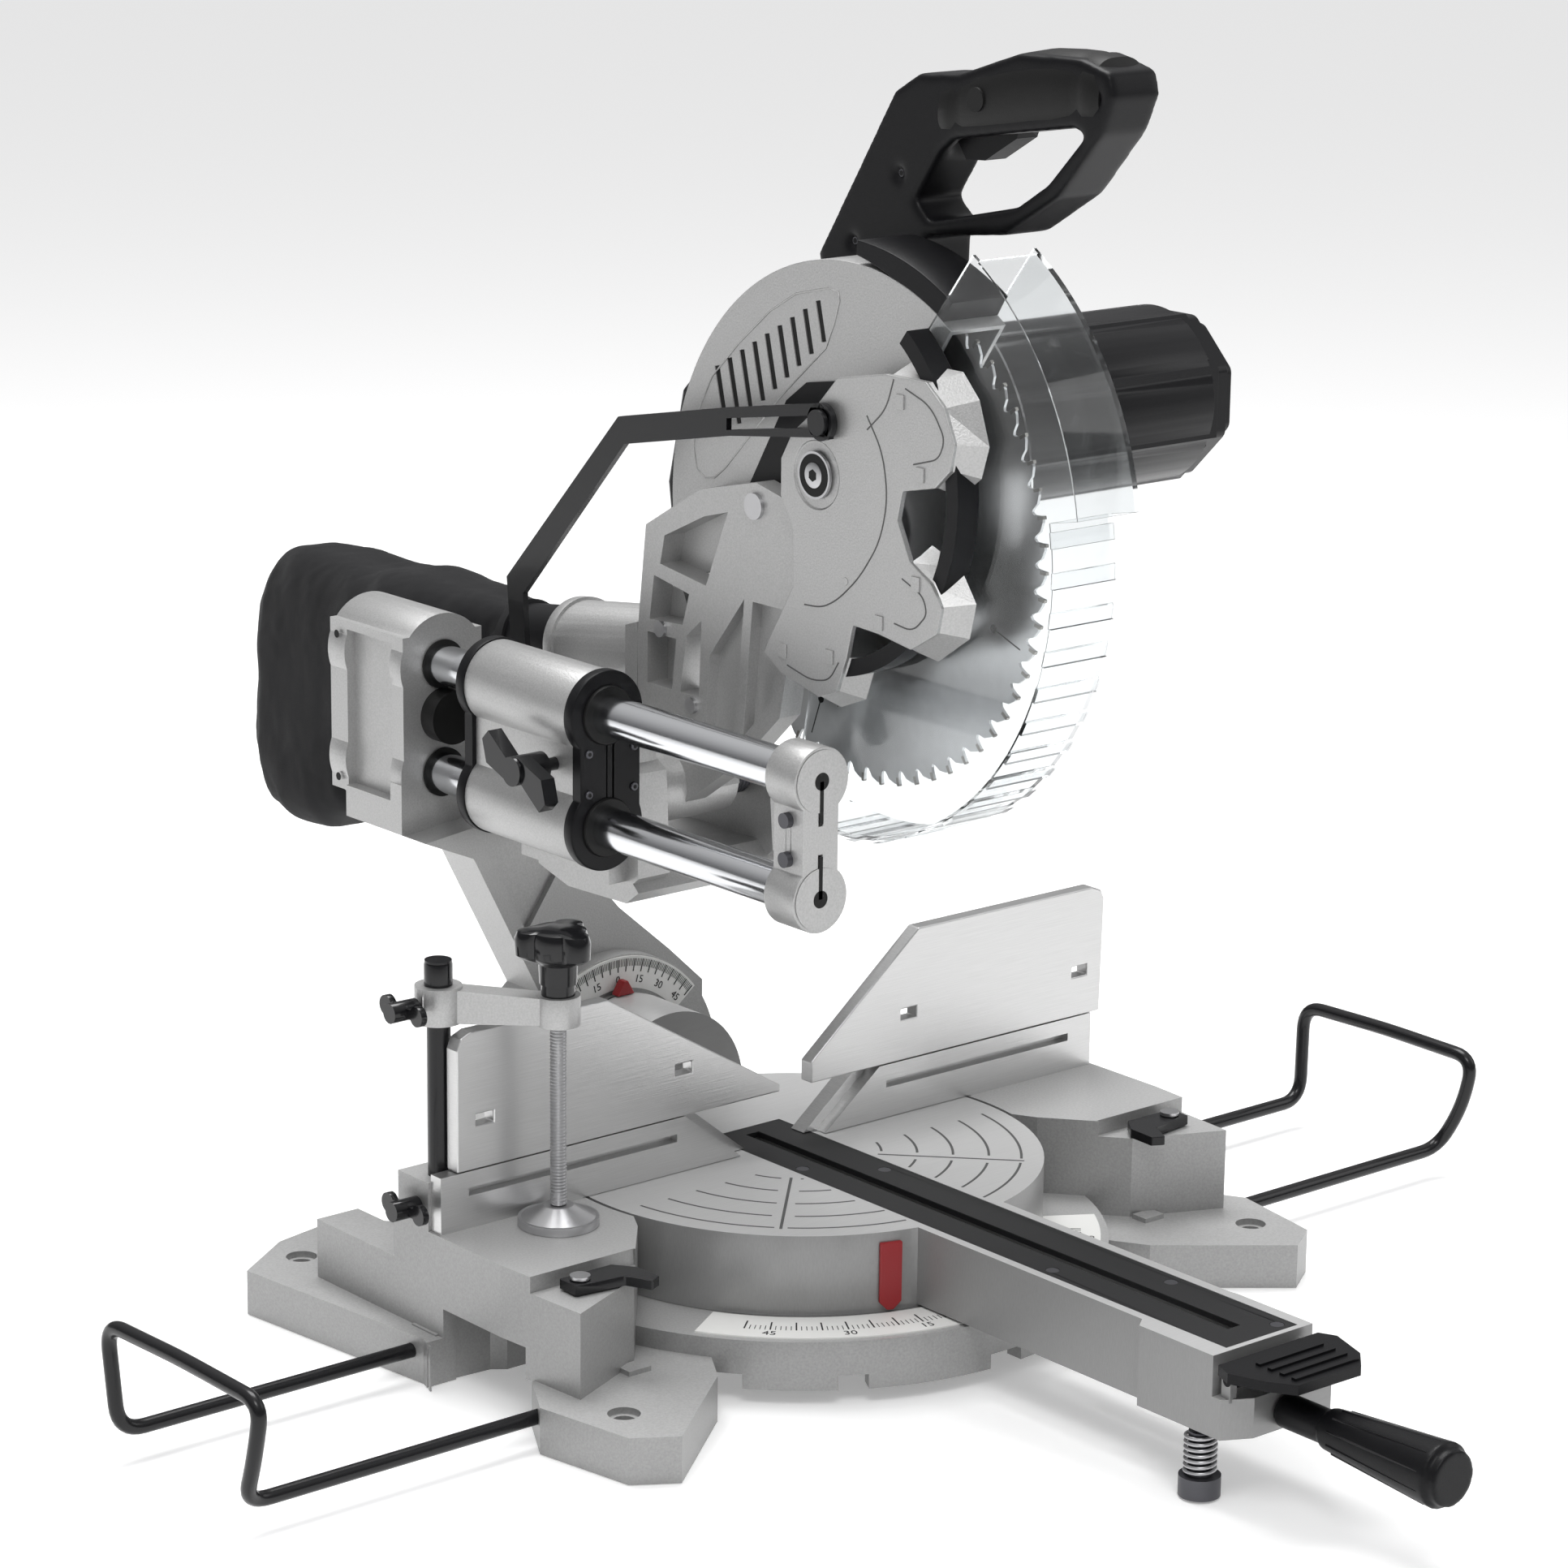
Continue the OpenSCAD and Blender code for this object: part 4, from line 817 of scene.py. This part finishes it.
# ---------------------------------------------------------------- dust bag
def build_bag():
    """A soft bag on the dust port: a lofted shell with slack folds."""
    rng = random.Random(SEED)
    waves = [(rng.uniform(2, 7), rng.uniform(1, 5), rng.uniform(0, 6.28), rng.uniform(0.4, 1.0))
             for _ in range(9)]
    # y along the bag, top z, bottom z, half width
    stations = [(258, 387.5, 341, 24.5), (268, 388, 340, 25.5), (282, 388, 336, 29),
                (306, 388.5, 326, 36), (340, 389, 312, 41), (376, 390, 296, 44),
                (398, 390, 262, 45), (424, 390, 214, 46), (456, 389.5, 196, 46),
                (488, 388, 193, 45), (512, 385, 200, 42), (527, 374, 220, 33),
                (531, 350, 250, 20)]
    rows, columns = 70, 96
    verts, faces = [], []

    def station(t):
        f = t * (len(stations) - 1)
        i = min(int(f), len(stations) - 2)
        u = f - i
        u = u * u * (3 - 2 * u) * 0.35 + u * 0.65
        return [a + (b - a) * u for a, b in zip(stations[i], stations[i + 1])]

    for r in range(rows):
        t = r / (rows - 1)
        y, top, bottom, half = station(t)
        middle, tall = (top + bottom) / 2, (top - bottom) / 2
        for c in range(columns):
            a = 2 * math.pi * c / columns
            ca, sa = math.cos(a), math.sin(a)
            power = 0.62 + 0.38 * max(0.0, 1 - t * 3)
            x = math.copysign(abs(ca) ** power, ca)
            z = math.copysign(abs(sa) ** power, sa)
            fold = sum(w * math.sin(k1 * a + k2 * t * 9 + phase)
                       for k1, k2, phase, w in waves) / 9
            slack = min(1.0, t * 3) * (1 - max(0, t - 0.9) * 6)
            sink = 1 - 0.06 * slack * (1 + math.sin(9 * t + 1.3)) * (1 - abs(z))
            dx = x * (half * sink + 3.2 * fold * slack)
            dz = z * (tall + 2.6 * fold * slack) - (3.0 * slack * (1 - abs(x)) * max(0, z)
                                                   * (1 + math.sin(14 * t)))
            lean = 5.0 * (sa if t > 0.45 else 0) * max(0, t - 0.45)
            verts.append((dx, y - lean * 4, middle + dz))
    for r in range(rows - 1):
        for c in range(columns):
            d = (c + 1) % columns
            faces.append((r * columns + c, r * columns + d, (r + 1) * columns + d,
                          (r + 1) * columns + c))
    faces.append(tuple(range((rows - 1) * columns, rows * columns)))
    bag = make("dust_bag_cloth", verts, faces, FABRIC, "head", smooth=False)
    for polygon in bag.data.polygons:
        polygon.use_smooth = True
    sub = bag.modifiers.new("smooth cloth", "SUBSURF")
    sub.levels = sub.render_levels = 1
    crumple = bpy.data.textures.new("bag crumple", "CLOUDS")
    crumple.noise_scale = 0.045
    crumple.noise_depth = 3
    folds = bag.modifiers.new("crumples", "DISPLACE")
    folds.texture = crumple
    folds.texture_coords = "LOCAL"
    folds.strength = 0.0045
    folds.mid_level = 0.55
    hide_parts("dust_bag")
    cuff = Parts()
    cuff.lathe([(23.95, 0), (25.4, 0.6), (25.6, 7), (25.4, 13.4), (23.95, 14)],
               place((0, 254, 364.2), (0, 0.991, -0.136)), 48)
    cuff.make("bag_cuff", FABRIC, "head", smooth=True, slot="bag_fabric")


build_blade()
build_mitre_scale()
build_bevel_scale()
build_guard_details()
build_shroud_details()
build_table_details()
build_bracket_details()
build_wires()
build_motor_details()
build_handle_details()
build_carriage_details()
build_springs()
build_clamp_details()
build_grip_details()
build_bag()


# ---------------------------------------------------------------- floor, light, camera
def build_stage():
    floor_mesh = bpy.data.meshes.new("floor")
    size = 60.0
    floor_mesh.from_pydata([(-size, -size, 0), (size, -size, 0), (size, size, 0),
                            (-size, size, 0)], [], [(0, 1, 2, 3)])
    floor = bpy.data.objects.new("floor", floor_mesh)
    bpy.context.scene.collection.objects.link(floor)
    floor.location.z = -0.0005
    pale = new_material("pale floor", (0.90, 0.90, 0.90), 0.0, 0.8,
                        Emission_Color=(1.0, 1.0, 1.0, 1.0), Emission_Strength=0.26)
    floor.data.materials.append(pale)


def area_light(name, location, target, size, energy):
    data = bpy.data.lights.new(name, "AREA")
    data.shape = "RECTANGLE"
    data.size, data.size_y = size
    data.energy = energy
    lamp = bpy.data.objects.new(name, data)
    bpy.context.scene.collection.objects.link(lamp)
    lamp.location = location
    aim = Vector(target) - Vector(location)
    lamp.rotation_euler = aim.to_track_quat("-Z", "Y").to_euler()


def build_light():
    """A studio that is bright overhead and dimmer at eye level, so metal shows its shape."""
    world = bpy.data.worlds.new("studio")
    bpy.context.scene.world = world
    bpy.context.scene.view_settings.view_transform = "Standard"
    world.use_nodes = True
    nodes, links = world.node_tree.nodes, world.node_tree.links
    coords = nodes.new("ShaderNodeTexCoord")
    split = nodes.new("ShaderNodeSeparateXYZ")
    ramp = nodes.new("ShaderNodeValToRGB")
    stops = ramp.color_ramp.elements
    stops[0].position, stops[0].color = 0.0, (0.12, 0.12, 0.125, 1)
    stops[1].position, stops[1].color = 1.0, (1.0, 1.0, 1.0, 1)
    middle = stops.new(0.32)
    middle.color = (0.36, 0.36, 0.365, 1)
    links.new(coords.outputs["Generated"], split.inputs["Vector"])
    links.new(split.outputs["Z"], ramp.inputs["Fac"])
    links.new(ramp.outputs["Color"], nodes["Background"].inputs["Color"])
    nodes["Background"].inputs["Strength"].default_value = 0.85
    area_light("key", (-1.3, -1.7, 2.8), (0, 0, 0.3), (1.2, 1.0), 30)
    area_light("fill", (2.4, -1.4, 1.6), (0, 0, 0.35), (1.6, 1.4), 9)
    area_light("top", (0.3, 0.7, 2.9), (0, 0, 0.3), (1.8, 1.4), 66)


def build_camera():
    """The photograph's viewing angle, with a small roll."""
    azimuth, elevation, roll = (math.radians(v) for v in (-40.13, 14.75, 0.65))
    back = Vector((math.sin(azimuth) * math.cos(elevation),
                   -math.cos(azimuth) * math.cos(elevation), math.sin(elevation)))
    right = (-back).cross(Vector((0, 0, 1))).normalized()
    up = right.cross(-back)
    right_rolled = right * math.cos(roll) + up * math.sin(roll)
    up_rolled = -right * math.sin(roll) + up * math.cos(roll)
    data = bpy.data.cameras.new("camera")
    data.lens = 108.07
    data.sensor_width = 36.0
    data.clip_end = 200.0
    camera = bpy.data.objects.new("camera", data)
    bpy.context.scene.collection.objects.link(camera)
    matrix = Matrix((right_rolled, up_rolled, back)).transposed().to_4x4()
    matrix.translation = Vector((-1.77567, -2.10321, 1.04510))
    camera.matrix_world = matrix
    bpy.context.scene.camera = camera


build_stage()
build_light()
build_camera()
